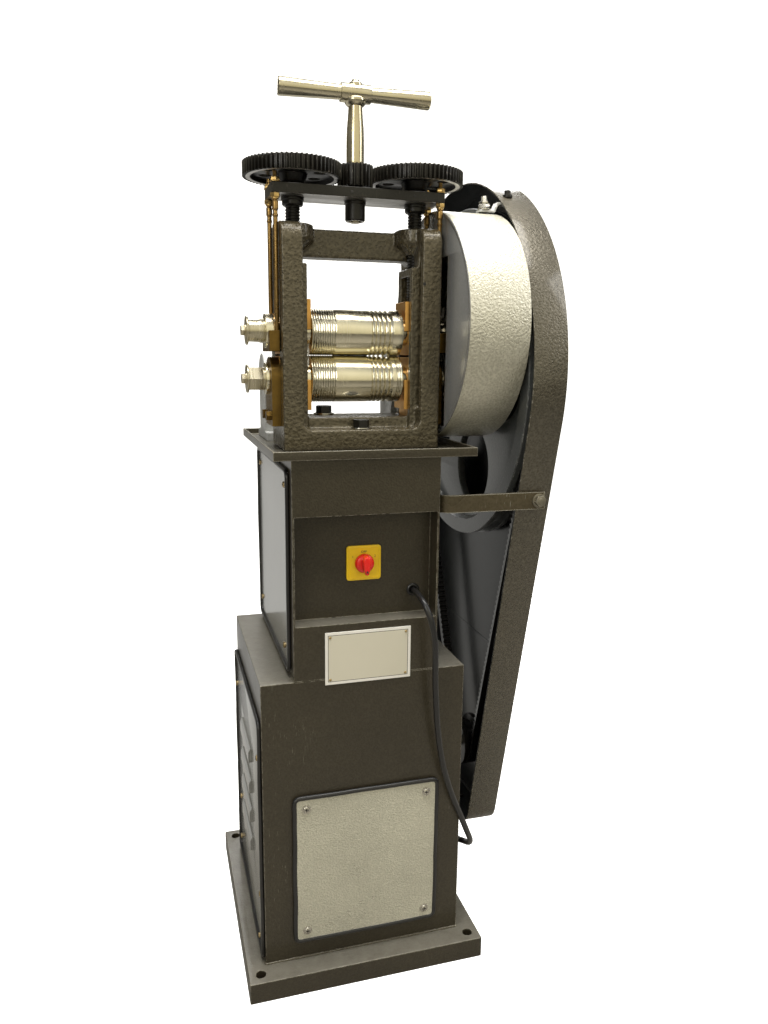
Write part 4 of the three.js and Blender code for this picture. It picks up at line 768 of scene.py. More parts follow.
# The name plate is left bare: thin enamelled metal with a white border, a dark line inside it
# and a cream field, riveted at its corners.
name_left, name_right, name_bottom, name_top = -68.6, 51.0, 442.4, 515.8
name_enamel, tree, surface = new_material("name_enamel")
enamel_place = split(tree, object_place(tree))
middle = mill_point((name_left + name_right) / 2, 0, (name_bottom + name_top) / 2)
inward = []
for axis, centre, half in (
    ("X", middle.x, (name_right - name_left) / 2000), ("Z", middle.z, (name_top - name_bottom) / 2000),
):
    offset = reckoned(tree, "SUBTRACT", enamel_place[axis], centre)
    inward.append(reckoned(tree, "SUBTRACT", half, reckoned(tree, "ABSOLUTE", offset)))
margin = reckoned(tree, "MINIMUM", *inward)
field_start, line_start, line_width = 0.0040, 0.0042, 0.0007
enamel_cloud = placed(tree, stained, {"Scale": 14.0, "Scratch": 0.0})["Cloud"]
cream = mixed(tree, enamel_cloud, (0.55, 0.52, 0.42), (0.575, 0.545, 0.445))
bordered = mixed(tree, reckoned(tree, "GREATER_THAN", margin, field_start), (0.72, 0.7, 0.65), cream)
in_line = reckoned(tree, "COMPARE", margin, line_start, line_width / 2)
enamel = wired(tree, "BsdfPrincipled", {
    "Base Color": mixed(tree, in_line, bordered, (0.03, 0.028, 0.025)),
    "Roughness": ranged(tree, enamel_cloud, to_low=0.3, to_high=0.38), "Coat Weight": 0.4,
    "Normal": bumped(tree, grain(tree, object_place(tree), 900.0, 1), 0.3, 0.00004),
})
tree.links.new(enamel.outputs[0], surface)
dress(["name_plate"], name_enamel, 0.25)
rivet_inset = 7
finished(
    "name_plate_rivets",
    [
        turned("y", [(-1, 1.9), (-1.5, 1.7), (-1.9, 1.0), (-2, 0)], x, z, 20, 0.15)
        for x in (name_left + rivet_inset, name_right - rivet_inset)
        for z in (name_bottom + rivet_inset, name_top - rivet_inset)
    ],
    screw_brass, "frame", crease=50,
)

# The chip tray: folded sheet with a low rim all round, scuffed along its top edge where work
# and tools rub on it.
# Its upward faces also get dust and a painted sheen.
tray_paint = paint(
    "tray_paint", (0.034, 0.028, 0.017), (0.047, 0.04, 0.026), 0.3, 420, 0.0002, metal=0.25, wear=0.68,
    scratch=0.8, dust_and_sheen_share=0.25,
)
dress(["chip_tray"], tray_paint, 0.7)


# The switch: a yellow plate with round corners in the recess, its body behind the panel, and a
# red knob with a raised grip that points down. Only generic marks are on the plate.
def plastic(name, colour, second, gloss, coat=0.3):
    """Moulded plastic: nearly even in colour, with a slightly uneven, finely grained gloss."""
    made, tree, surface = new_material(name)
    cloud = placed(tree, stained, {"Scale": 45.0, "Scratch": 0.4})["Cloud"]
    shader = wired(tree, "BsdfPrincipled", {
        "Base Color": mixed(tree, cloud, colour, second),
        "Roughness": ranged(tree, cloud, to_low=gloss - 0.05, to_high=gloss + 0.12), "Coat Weight": coat,
        "Normal": bumped(tree, grain(tree, object_place(tree), 1500.0, 1), 0.5, 0.00005),
    })
    tree.links.new(shader.outputs[0], surface)
    return made


switch_x, switch_z, recess_face = -9, 601.7, 29
plate_front = recess_face - 4


def switch_square(half, radius):
    """A square with round corners, centred on the switch."""
    return rounded_outline(switch_x - half, switch_x + half, switch_z - half, switch_z + half, radius)


switch_yellow = plastic("switch_yellow", (0.78, 0.5, 0.005), (0.86, 0.58, 0.01), 0.3)
plate_line = [switch_square(21.5, 3), switch_square(20.7, 2.6)]
finished(
    "switch_plate",
    [
        cut_plate("y", [switch_square(24, 4)], plate_front, recess_face, 0.8, 2),
        cut_plate("y", plate_line, plate_front - 0.5, plate_front + 0.5, 0.15),
        cut_plate("y", [switch_square(20, 2)], recess_face - 1, recess_face + 42, 0.8),
    ],
    switch_yellow, "frame", "switch_body",
)
mark_ink = plastic("mark_ink", (0.012, 0.011, 0.01), (0.03, 0.028, 0.025), 0.5, coat=0.0)
marks_on_plate = []
for mark, x, z, size in [
    ("OFF", switch_x, switch_z + 15.4, 4.6), ("1", switch_x - 15.5, switch_z + 9, 4.2),
    ("2", switch_x + 15.5, switch_z + 9, 4.2),
]:
    letters = bpy.data.curves.new("mark", "FONT")
    letters.body = mark
    letters.size = size
    letters.align_x = "CENTER"
    letters.align_y = "CENTER"
    letters.extrude = 0.12
    letters.resolution_u = 3
    mesh = settled(set_out("mark", letters))
    for vertex in mesh.vertices:
        vertex.co = mill_point(x + vertex.co.x, plate_front - 0.1 - vertex.co.z, z + vertex.co.y)
    marks_on_plate.append(mesh)
finished("switch_marks", marks_on_plate, mark_ink, "frame")

switch_red = plastic("switch_red", (0.62, 0.008, 0.006), (0.78, 0.02, 0.012), 0.22, coat=0.6)
knob_back = plate_front - 0.3
knob_front = knob_back - 19
grip_side = [(3.4, 11.2), (5.2, 6.5), (5.2, 2.0), (4.4, -5.5), (2.2, -12.4)]
grip = [(-a, b) for a, b in grip_side] + [(0, -13.1), *reversed(grip_side), (0, 12.8)]
finished(
    "switch_knob_red",
    [
        turned(
            "y", [(0, 13.3), (-4.5, 13.3), (-7.5, 11.8), (-8.6, 9.0)], switch_x, switch_z, 64, 0.9, knob_back,
        ),
        cut_plate("y", [[(switch_x + a, switch_z + b) for a, b in grip]], knob_front, knob_back - 2, 1.6, 3),
    ],
    switch_red, "knob", "switch_knob", 50,
)
finished(
    "switch_knob_pointer",
    [bar_mesh(
        switch_x - 1.3, switch_x + 1.3, knob_front - 0.15, knob_front + 0.6, switch_z - 9.8, switch_z - 6.8,
    )],
    mark_ink, "knob",
)

# The lead's rubber grommet in the recess panel, and its gland with a tapered sleeve on the right
# wall of the lower cabinet.
grommet_x, grommet_z, gland_y, gland_z = 62.5, 558.2, 72, 127
grommet_profile = [(6, 6.4), (0, 6.4), (0, 9), (-1.6, 9), (-3, 7.2), (-2.4, 5.2), (-0.5, 4.6)]
finished(
    "lead_grommet", [turned("y", grommet_profile, grommet_x, grommet_z, 40, 0.5, recess_face)],
    rubber_strip, "frame", "cable_grommet",
)
gland_profile = [(-9, 5.5), (8.8, 5.5), (8.8, 8.8), (14, 8.4), (18, 5.6)]
finished(
    "lead_gland",
    [
        cut_plate("x", [circle(11, gland_y, gland_z, 6)], lower_right, lower_right + 9, 0.7),
        turned("x", gland_profile, gland_y, gland_z, 32, 0.6, lower_right),
    ],
    rubber_strip, "frame", "cable_gland",
)

# The mill housing: one iron casting with two posts, a bed, a tie and two screw bosses. Its outer
# faces are left as cast, its corners are filled out, and all of it is painted olive brown.
mill_y, post_inner, housing_front, housing_rear = 115.3, 81, 64.8, 165.8
bed_ledge, window_floor, ledge_rear, window_front = 778, 793, 92.5, 91
tie_bottom, tie_top, tie_front, tie_rear = 1006.5, 1042.5, 119.3, 149.3
hollow_y, hollow_half, hollow_foot, hollow_shoulder, hollow_arch = 79.2, 4.4, 806, 1006, 16
casting_grain, casting_lump = 1.7, 0.34


def shaped(mesh, *steps):
    """A mesh after modifiers, each given by its kind and its settings."""
    holder = set_out("work", mesh)
    for kind, settings in steps:
        modifier = holder.modifiers.new(kind.lower(), kind)
        for name, value in settings.items():
            setattr(modifier, name, value)
    return settled(holder)


def joined(meshes):
    """Several meshes in one, still overlapping where they did."""
    whole, made = gathered(meshes, "joined")
    bmesh.ops.recalc_face_normals(whole, faces=whole.faces)
    whole.to_mesh(made)
    whole.free()
    return made


def corner_fillet(x, z, way_x, way_z, radius, y0, y1):
    """The fill in an inner corner of the casting, running front to back."""
    arc = [
        (x + way_x * radius * (1 - math.cos(turn)), z + way_z * radius * (1 - math.sin(turn)))
        for turn in (math.radians(15 * step) for step in range(7))
    ]
    inside_x, inside_z = x - way_x * 2, z - way_z * 2
    outline = [(inside_x, inside_z), (inside_x, z + way_z * radius), *arc, (x + way_x * radius, inside_z)]
    return grid_mesh([[(a, y, b) for a, b in outline] for y in (y0, y1)])


hollow_outline = [(hollow_y - hollow_half, hollow_foot), (hollow_y + hollow_half, hollow_foot)]
hollow_outline += [
    (math.cos(turn) * hollow_half + hollow_y, hollow_shoulder + math.sin(turn) * hollow_arch)
    for turn in (math.radians(18 * step) for step in range(11))
]
hollows, fillets = [], []
for side in (-1, 1):
    face = side * post_inner
    across = sorted((side * (post_inner - 1), side * (post_inner + 9)))
    hollows.append(grid_mesh([[(x, y, z) for y, z in hollow_outline] for x in across]))
    fillets += [
        corner_fillet(face, bed_ledge, -side, 1, 11, housing_front, ledge_rear),
        corner_fillet(face, window_floor, -side, 1, 8, window_front, housing_rear),
        corner_fillet(face, tie_bottom, -side, -1, 9, tie_front, tie_rear),
        corner_fillet(face, tie_top, -side, 1, 3, tie_front, tie_rear),
    ]
cutter = set_out("hollows", joined(hollows))
hollowed = shaped(
    parts["mill_housing"].data.copy(),
    ("BOOLEAN", {"object": cutter, "operation": "DIFFERENCE", "solver": "EXACT"}),
)
bpy.data.objects.remove(cutter)
raw_casting = shaped(
    joined([hollowed, *fillets]),
    ("REMESH", {"mode": "VOXEL", "voxel_size": casting_grain / 1000}),
    ("SMOOTH", {"factor": 0.5, "iterations": 7}),
)
lumps = []
for vertex in raw_casting.vertices:
    lump = noise.noise(vertex.co * 160) * 0.6 + noise.noise(vertex.co * 340) * 0.55
    lumps.extend(vertex.co + vertex.normal * lump * casting_lump / 1000)
raw_casting.vertices.foreach_set("co", lumps)
casting_paint = paint(
    "casting_paint", (0.05, 0.04, 0.021), (0.082, 0.068, 0.04), 0.26, 250, 0.001, metal=0.4, wear=0.5,
    worn_colour=(0.4, 0.37, 0.3), warp=1.2, coat=0.5, scratch=0.3,
)
finished("mill_casting", [raw_casting], casting_paint, "frame", "mill_housing", 80)

# A small oil hole in the right post and a scribed line on the tie, both black: painted shade inside them
oil_x, oil_z, oil_radius, scribed_x, scribed_width = 83.8, 972, 2.1, 70.2, 1.3
finished(
    "casting_hole_shades",
    [
        disc("y", housing_front - 0.05, housing_front + 1, oil_radius, oil_x, oil_z, 16, 0.05),
        bar_mesh(
            scribed_x, scribed_x + scribed_width, tie_front - 0.35, tie_front + 1.7, tie_bottom + 0.5,
            tie_top - 0.5,
        ),
    ],
    painted_recess_shade, "frame",
)

# The bolts that hold the casting down on the cabinet: black hexagon heads on flat washers, which
# are left bright. All the blackened steel on the mill has the same finish.
black_oxide = paint(
    "black_oxide", (0.004, 0.0036, 0.0028), (0.0085, 0.0075, 0.0055), 0.32, 700, 0.00007, metal=0.15,
    wear=0.4, worn_colour=(0.24, 0.21, 0.17), coat=0.0, scratch=0.3,
)
dress(["front_housing_bolt", "rear_housing_bolt"], black_oxide, 0.7)
bolt_seats = [(1, housing_front + 15.5, bed_ledge), (-37, housing_rear - 16, window_floor)]
washer_outer, washer_inner = 14.5, 11.6
finished(
    "housing_bolt_washers",
    [
        turned_ring("z", seat + 0.1, seat + 2, washer_outer, washer_inner, x, y, 40, 0.3)
        for x, y, seat in bolt_seats
    ],
    bright_steel, "frame",
)

# The rolls: hardened and ground steel on long necks. Both carry fine wire grooves at the left
# and five square wire grooves that widen to the right, with a plain band for sheet between them.
lower_axis, upper_axis = 844.75, 908.25
roll_radius, roll_left, roll_right, neck_radius, tail_radius = 31.74, -65.4, 61.7, 18, 15
fine_start, fine_pitch, fine_count, fine_depth = 0.6, 3.3, 10, 0.95
wire_start, wire_widths, wire_land, wire_slope = 16.7, (4.2, 4.8, 5.4, 6.0, 6.6), 1.0, 0.46
end_start, end_pitch, end_count, end_depth = 2, 2.2, 3, 0.6


def roll_face(end_lines):
    """The grooved face of a roll as pairs of distance and radius, from left to right."""
    grooves = [
        (start, fine_pitch * 0.42, fine_pitch * 0.84, fine_depth)
        for start in (roll_left + fine_start + groove * fine_pitch for groove in range(fine_count))
    ]
    start = wire_start
    for width in wire_widths:
        grooves.append((start, width / 2, width, width * wire_slope))
        start += width + wire_land
    grooves += [
        (roll_right - end_start - line * end_pitch, end_pitch * 0.4, end_pitch * 0.8, end_depth)
        for line in range(end_lines, 0, -1)
    ]
    face = [(roll_left, roll_radius)]
    for start, half, width, depth in grooves:
        face += [(start, roll_radius), (start + half, roll_radius - depth), (start + width, roll_radius)]
    return face + [(roll_right, roll_radius)]


ground_steel = bare_metal(
    "ground_steel", (0.82, 0.77, 0.6), (0.55, 0.48, 0.32), 0.16, (1500.0, 6.0, 6.0), depth=0.00002,
    tarnish=0.2,
)
for name, axis_z, collar_radius, collar_start, collar_length, tail_end, end_lines in [
    ("upper_roll", upper_axis, 23, 109.8, 15.5, 145, 0),
    ("lower_roll", lower_axis, 21.5, 120.8, 5, 169, end_count),
]:
    collar_end = collar_start + collar_length
    profile = [
        (-collar_end, collar_radius), (-collar_start, collar_radius), (-collar_start, neck_radius),
        (roll_left, neck_radius), *roll_face(end_lines), (roll_right, neck_radius),
        (collar_start, neck_radius), (collar_start, collar_radius), (collar_end, collar_radius),
        (collar_end, tail_radius), (tail_end, tail_radius),
    ]
    finished(
        name + "_ground", [turned("x", profile, mill_y, axis_z, 144, 0.18)],
        ground_steel, name + "_set", name, 28,
    )


# The extensions on the left end of both rolls: a sleeve, round above and six sided below, held
# by a wide washer and a hexagon bolt.
def hex_head(axis, low, high, radius, a, b, turn=0.0, ease=0.6):
    """A hexagon head or nut with its edges broken."""
    return cut_plate(axis, [circle(radius, a, b, 6, turn)], low, high, ease, 2)


def threaded(axis, low, high, radius, pitch, depth, a, b, sides=24):
    """A screw thread: a ridge round a rod that climbs by its pitch at each turn."""
    rows = []
    count = max(2, round((high - low) / pitch * 6))
    for row in range(count + 1):
        along = low + (high - low) * row / count
        ring = []
        for side in range(sides):
            turn = math.tau * side / sides
            here = radius - depth * abs(2 * ((along / pitch - side / sides) % 1) - 1)
            ring.append(on_axis(axis, along, a + here * math.cos(turn), b + here * math.sin(turn)))
        rows.append(ring)
    return grid_mesh(rows)


pale_steel = bare_metal(
    "pale_steel", (0.6, 0.55, 0.41), (0.36, 0.3, 0.18), 0.27, (700.0, 12.0, 12.0), tarnish=0.3,
)
sleeve_length = 22.5
for name, axis_z, roll_end in (("upper", upper_axis, -125.3), ("lower", lower_axis, -125.8)):
    end = roll_end - sleeve_length
    if name == "lower":
        sleeve = [
            hex_head("x", end, roll_end - 3, 17, mill_y, axis_z, ease=0.8),
            disc("x", roll_end - 3.2, roll_end, 15.6, mill_y, axis_z, 48),
        ]
    else:
        sleeve_profile = [(0, 14.6), (13, 15), (17, 16), (sleeve_length, 16)]
        sleeve = [turned("x", sleeve_profile, mill_y, axis_z, 64, 0.8, end)]
    sleeve += [
        disc("x", end - 2.5, end, 19, mill_y, axis_z, 64, 0.5),
        disc("x", end - 3.6, end - 2.4, 9.2, mill_y, axis_z, 40, 0.3),
        hex_head("x", end - 9, end - 3.4, 7.5, mill_y, axis_z, ease=0.7),
    ]
    finished(
        name + "_roll_extension", sleeve, pale_steel, name + "_roll_set", name + "_spool", 40,
    )

# Brass and bronze: bearing blocks whose thrust flanges show beside the rolls, saddles that carry
# the upper roll, and plates that hold the lower one. All are sawn and milled from bar.
flange_brass = bare_metal(
    "flange_brass", (0.74, 0.42, 0.13), (0.42, 0.22, 0.06), 0.3, (40.0, 500.0, 60.0), depth=0.00006,
    tarnish=0.45,
)
dark_brass = bare_metal(
    "dark_brass", (0.2, 0.125, 0.034), (0.08, 0.046, 0.014), 0.33, (60.0, 60.0, 420.0), depth=0.00009,
    tarnish=0.7, wear=0.4, worn_colour=(0.8, 0.58, 0.25),
)
dress(
    [f"{row}_{side}_bearing_block" for row in ("lower", "upper") for side in ("left", "right")],
    flange_brass, 0.4,
)
dress(["left_saddle", "right_saddle", "left_neck_plate", "right_neck_plate"], dark_brass, 1.0)

# The crosshead: a black bar with a ground underside. It carries the bushes of both screws and of
# the handle, and four brass rods with nuts, which hang the saddles from it.
plate_bottom, plate_top, plate_half_length, plate_half_width = 1080, 1092.7, 117, 31.5
plate_face = mill_y - plate_half_width
screw_reach, neck_rise, rod_out, rod_back, rod_radius = 85, 4, 112, 26.4, 3
rod_places = [(side * rod_out, mill_y + row * rod_back) for side in (-1, 1) for row in (-1, 1)]
dress(["crosshead_plate"], black_oxide, 0.8)
ground_plate = bare_metal(
    "ground_plate", (0.6, 0.59, 0.57), (0.34, 0.32, 0.3), 0.3, (14.0, 700.0, 14.0), tarnish=0.5,
)
finished(
    "crosshead_underside",
    [cut_plate(
        "z",
        [
            [
                (x * (plate_half_length - 1), mill_y + y * (plate_half_width - 1))
                for x, y in ((-1, -1), (1, -1), (1, 1), (-1, 1))
            ],
            circle(14.7, 0, mill_y, 24),
            *[circle(15.2, side * screw_reach, mill_y, 24) for side in (-1, 1)],
            *[circle(rod_radius + 0.4, x, y, 12) for x, y in rod_places],
        ],
        plate_bottom - 0.12, plate_bottom + 0.3, 0.05,
    )],
    ground_plate, "crosshead",
)
# The crosshead's set screw holes as black discs: painted shade
finished(
    "plate_set_screws",
    [disc("y", plate_face - 0.2, plate_face + 1, 1.9, x, plate_bottom + 6, 16, 0.1) for x in (-12, 74)],
    painted_recess_shade, "crosshead",
)
for node, x, drop, radius, bush_neck, bore in (
    ("left_bush", -screw_reach, 11, 15, 12.5, 9.3), ("right_bush", screw_reach, 11, 15, 12.5, 9.3),
    ("centre_bush", 0, 26, 14.5, 11, 8.3),
):
    bottom = plate_bottom - drop
    walls = [
        (bottom, bore), (plate_top + neck_rise, bore), (plate_top + neck_rise, bush_neck),
        (plate_bottom - 0.2, bush_neck), (plate_bottom - 0.2, radius), (plate_bottom - 3.6, radius),
        (plate_bottom - 4.4, radius - 1.1), (bottom + 1.8, radius - 1.1), (bottom, radius - 2.4),
        (bottom, bore),
    ]
    finished(
        node + "_turned", [grid_mesh(round_rows("z", walls, x, mill_y, 64, 0.3), "open")],
        black_oxide, "crosshead", node, 40,
    )
# A bright ground steel ring at the foot of the centre bush: painted highlight on its bottom edge
finished(
    "centre_bush_highlight_ring",
    [turned_ring("z", plate_bottom - 26.15, plate_bottom - 25.4, 12.2, 9.6, 0, mill_y, 48, 0.2)],
    ground_plate, "crosshead",
)

rod_brass = bare_metal(
    "rod_brass", (0.42, 0.27, 0.1), (0.13, 0.075, 0.03), 0.28, (15.0, 15.0, 300.0), tarnish=0.65,
)
nut_brass = bare_metal(
    "nut_brass", (0.72, 0.5, 0.2), (0.36, 0.23, 0.08), 0.24, (200.0, 200.0, 200.0), tarnish=0.4,
)
rod_profile = [
    (upper_axis - plate_bottom, rod_radius), (-30, rod_radius), (-27.5, 3.9), (-25, rod_radius),
    (-22, rod_radius), (-20, 4.1), (-11, 4.1), (-9, rod_radius), (-5, rod_radius),
]
for name, (x, y) in zip(
    ("front_left_lift_rod", "rear_left_lift_rod", "front_right_lift_rod", "rear_right_lift_rod"), rod_places,
):
    finished(
        name + "_turned",
        [
            turned("z", rod_profile, x, y, 24, 0.5, plate_bottom),
            threaded("z", plate_bottom - 6, plate_top + 13.2, 2.95, 1.4, 0.4, x, y),
        ],
        rod_brass, "crosshead", name, 50,
    )
    finished(
        name + "_nuts",
        [
            hex_head("z", plate_bottom - 6, plate_bottom - 0.6, 6.5, x, y, math.radians(12), 0.5),
            turned("z", [(-8.4, 4.4), (-6, 4.8)], x, y, 32, 0.4, plate_bottom),
            hex_head("z", plate_top + 1, plate_top + 6, 6.3, x, y, math.radians(33), 0.5),
            disc("z", plate_top, plate_top + 1, 6.8, x, y, 32, 0.2),
        ],
        nut_brass, "crosshead", crease=40,
    )


# The setting screws and their gears. Each screw is threaded into its boss on the casting; the
# gears are cut steel, blackened, with the underside of the rim left bright from the lathe.
def gear_outline(teeth, turn, a, b):
    """The toothed outline of a spur gear of module 2, whose flanks curve in to a rounded tip."""
    module = 2
    flank = [(0.5, -1.12), (0.33, -1.12), (0.27, -0.9), (0.21, 0.0), (0.16, 0.6), (0.12, 0.93)]
    shape = [(-along, rise) for along, rise in flank] + flank[:0:-1]
    points = []
    for tooth in range(teeth):
        for along, rise in shape:
            here, angle = teeth * module / 2 + rise * module, turn + (tooth + along) * math.tau / teeth
            points.append((a + here * math.cos(angle), b + here * math.sin(angle)))
    return points


gear_bottom, gear_top, hub_top, web_thick = 1103.5, 1121.4, 1124.0, 8
rim_inner, web_inner, window_ring, window_radius = 54.6, 19, 38, 8
web_low, hub_bottom = gear_bottom + 4.95, plate_top + neck_rise + 0.4
gear_teeth, pinion_teeth = 63, 22
hub = [
    (hub_bottom, 9.4), (hub_top, 9.4), (hub_top, 20), (web_low + web_thick, 20), (web_low, 20),
    (hub_bottom + 2.6, 17), (hub_bottom, 16), (hub_bottom, 9.4),
]
for side, name, start in ((-1, "left", 0.0), (1, "right", math.pi)):
    x = side * screw_reach
    toothed = gear_outline(gear_teeth, start + math.pi / gear_teeth, x, mill_y)
    window_places = circle(window_ring, x, mill_y, 6, math.radians(30))
    web_outlines = [circle(rim_inner + 0.6, x, mill_y, 96), circle(web_inner, x, mill_y, 48)]
    web_outlines += [circle(window_radius, a, b, 28) for a, b in window_places]
    finished(
        name + "_setting_gear",
        [
            cut_plate("z", [toothed, circle(rim_inner, x, mill_y, 96)], gear_bottom, gear_top, 0.14),
            cut_plate("z", web_outlines, web_low, web_low + web_thick, 0.5),
            grid_mesh(round_rows("z", hub, x, mill_y, 56, 0.5), "open"),
        ],
        black_oxide, name + "_screw_set", name + "_screw_gear", 30,
    )
    finished(
        name + "_gear_underside",
        [turned_ring("z", gear_bottom - 0.12, gear_bottom + 0.4, 60.6, 55.0, x, mill_y, 96, 0.1)],
        ground_plate, name + "_screw_set",
    )
    finished(
        name + "_setting_screw",
        [
            threaded(
                "z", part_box(name + "_screw")[0][2] * 1000, plate_bottom - 11.4, 10, 4, 1.3, x, mill_y, 40,
            ),
            disc("z", plate_bottom - 12, hub_top, 9, x, mill_y, 40, 0.6),
        ],
        black_oxide, name + "_screw_set", name + "_screw", 45,
    )

# The handle: a polished steel T bar on a shaft that swells below its neck, fixed with a round
# nub on top, and a long black pinion between the two gears.
hand_polished = bare_metal(
    "hand_polished", (0.64, 0.59, 0.44), (0.42, 0.35, 0.21), 0.16, (260.0, 16.0, 16.0), depth=0.00003,
    tarnish=0.32,
)
shaft_polished = bare_metal(
    "shaft_polished", (0.62, 0.55, 0.38), (0.42, 0.34, 0.19), 0.15, (16.0, 16.0, 260.0), depth=0.00003,
    tarnish=0.32,
)
bar_z, pinion_bottom, pinion_top = 1214, plate_top + 4.3, 1124.7
finished(
    "handle_pinion_cut",
    [cut_plate(
        "z", [gear_outline(pinion_teeth, 0, 0, mill_y), circle(8.3, 0, mill_y, 32)],
        pinion_bottom, pinion_top, 0.2,
    )],
    black_oxide, "handle", "handle_pinion", 30,
)
shaft_profile = [
    (1052, 8), (pinion_top, 8), (pinion_top, 11), (1128, 11.7), (1160, 11.7), (1172, 11.3), (1184, 10.1),
    (1196, 9.4), (1204, 9.4),
]
finished(
    "handle_shaft_polished", [turned("z", shaft_profile, 0, mill_y, 56, 2.5)],
    shaft_polished, "handle", "handle_shaft", 50,
)
grip_profile = [(12, 11.9), (20.5, 11.6), (20.5, 9.2), (60, 10.3), (99, 11.45), (102.3, 11.3)]
bar_profile = [(-along, radius) for along, radius in reversed(grip_profile)] + grip_profile
collar_profile = [(-17, 8.6), (-14.5, 12.2), (-11, 14.6), (-6, 14.2)]
nub_profile = [(8, 9.4), (12.6, 9.0), (13, 5.6), (16.4, 5.0), (17, 3.6)]
finished(
    "handle_bar_polished",
    [
        turned("x", bar_profile, mill_y, bar_z, 64, 1.0),
        turned("z", collar_profile, 0, mill_y, 40, 1.6, bar_z),
        turned("z", nub_profile, 0, mill_y, 40, 0.9, bar_z),
    ],
    hand_polished, "handle", "handle_bar", 50,
)

# The gear cover: a round drum of rolled sheet in silver hammer paint. Its left wall is smooth and
# dark, with a mouth for the roll necks, and a folded seam runs round where band and wall meet.
cover_y, cover_z, cover_radius, cover_left, cover_right, cover_sheet = 141, 918, 159, 118, 203, 3
mouth = [(69.8, 780), (160.8, 780), (160.8, 1010), (69.8, 1010)]
shaft_y, shaft_z, between_y, between_z = 250.5, 844.75, 195.9, 900.5
shaft_holes = [circle(14, shaft_y, shaft_z, 32), circle(10.4, between_y, between_z, 32)]
drum_paint = paint(
    "drum_paint", (0.43, 0.413, 0.338), (0.6, 0.583, 0.49), 0.3, 370, 0.0007, metal=0.45, wear=0.3,
    worn_colour=(0.7, 0.7, 0.66), warp=1.1, coat=0.35, scratch=0.0, mottle=0.06,
)
wall_paint = paint(
    "wall_paint", (0.17, 0.172, 0.168), (0.19, 0.192, 0.188), 0.24, 500, 0.00003, metal=0.3, wear=0.4,
    worn_colour=(0.5, 0.5, 0.48), coat=0.4, scratch=0.3, mottle=0.04,
)
finished(
    "gear_cover_band",
    [
        turned_ring(
            "x", cover_left, cover_right, cover_radius, cover_radius - cover_sheet, cover_y, cover_z,
            160, 0.9,
        ),
        cut_plate(
            "x", [circle(cover_radius - 1, cover_y, cover_z, 128), *shaft_holes],
            cover_right - cover_sheet, cover_right, 0.4,
        ),
    ],
    drum_paint, "frame", "gear_cover", 40,
)
finished(
    "gear_cover_wall",
    [
        cut_plate(
            "x", [circle(cover_radius - 1.6, cover_y, cover_z, 128), mouth, *shaft_holes],
            cover_left - 0.2, cover_left + cover_sheet, 0.5,
        ),
        turned_ring(
            "x", cover_left - 1.0, cover_left + 0.4, cover_radius - 0.4, cover_radius - 4.5, cover_y, cover_z,
            160, 0.5,
        ),
    ],
    wall_paint, "frame",
)

# The gears under the cover and the shafts behind the mill: plain machined steel, oiled, turning
# in grey cast brackets.
oiled_steel = bare_metal(
    "oiled_steel", (0.42, 0.4, 0.36), (0.14, 0.12, 0.09), 0.3, (200.0, 200.0, 200.0), tarnish=0.6,
)
dress(
    [
        "upper_roll_gear", "lower_roll_gears", "intermediate_shaft", "intermediate_gears", "flywheel_shaft",
        "motor_shaft",
    ],
    oiled_steel, 0.3,
)
bracket_grey = paint(
    "bracket_grey", (0.33, 0.335, 0.325), (0.42, 0.425, 0.415), 0.42, 260, 0.0004, metal=0.1, wear=0.45,
    worn_colour=(0.5, 0.49, 0.46), coat=0.2, scratch=0.4,
)
dress(["left_bearing_bracket", "right_bearing_bracket"], bracket_grey, 2.0)
dress(["motor"], bracket_grey, 1.5)

# The belt guard: a deep tray of folded sheet round the flywheel and the motor pulley, in the
# same hammer paint outside and smooth black grey inside, with its seams welded. The inside's
# near black is dark paint, darkened further as painted shade.
guard_left, guard_right, guard_sheet, guard_y, guard_z, guard_radius = 208, 258, 2.5, 265, 854, 287
guard_slope, guard_bottom, guard_corner = 0.2387, 90, 38


def guard_outline(inset):
    """The guard's outline in y and z: an arc over the flywheel, straight sides and a flat foot."""
    radius, corner, tilt = guard_radius - inset, guard_corner - inset, math.atan(guard_slope)
    end_y, end_z = radius * math.cos(tilt), guard_z - radius * math.sin(tilt)
    corner_z = guard_bottom + guard_corner
    corner_y = end_y - (end_z - (corner_z - corner * math.sin(tilt))) * guard_slope - corner * math.cos(tilt)
    points = []
    for y, z, reach, start, stop, steps in (
        (guard_y, guard_z, radius, -tilt, math.pi + tilt, 128),
        (guard_y - corner_y, corner_z, corner, math.pi + tilt, 1.5 * math.pi, 10),
        (guard_y + corner_y, corner_z, corner, -0.5 * math.pi, -tilt, 10),
    ):
        for step in range(steps + 1):
            turn = start + (stop - start) * step / steps
            points.append((y + reach * math.cos(turn), z + reach * math.sin(turn)))
    return points


def guard_band(section):
    """Sheet that runs round the guard's outline, from its cross section in x and inset."""
    outlines = [guard_outline(inset) for _, inset in section]
    return grid_mesh([
        [(x, *outlines[corner][step]) for corner, (x, _) in enumerate(section)]
        for step in range(len(outlines[0]))
    ], "looped")


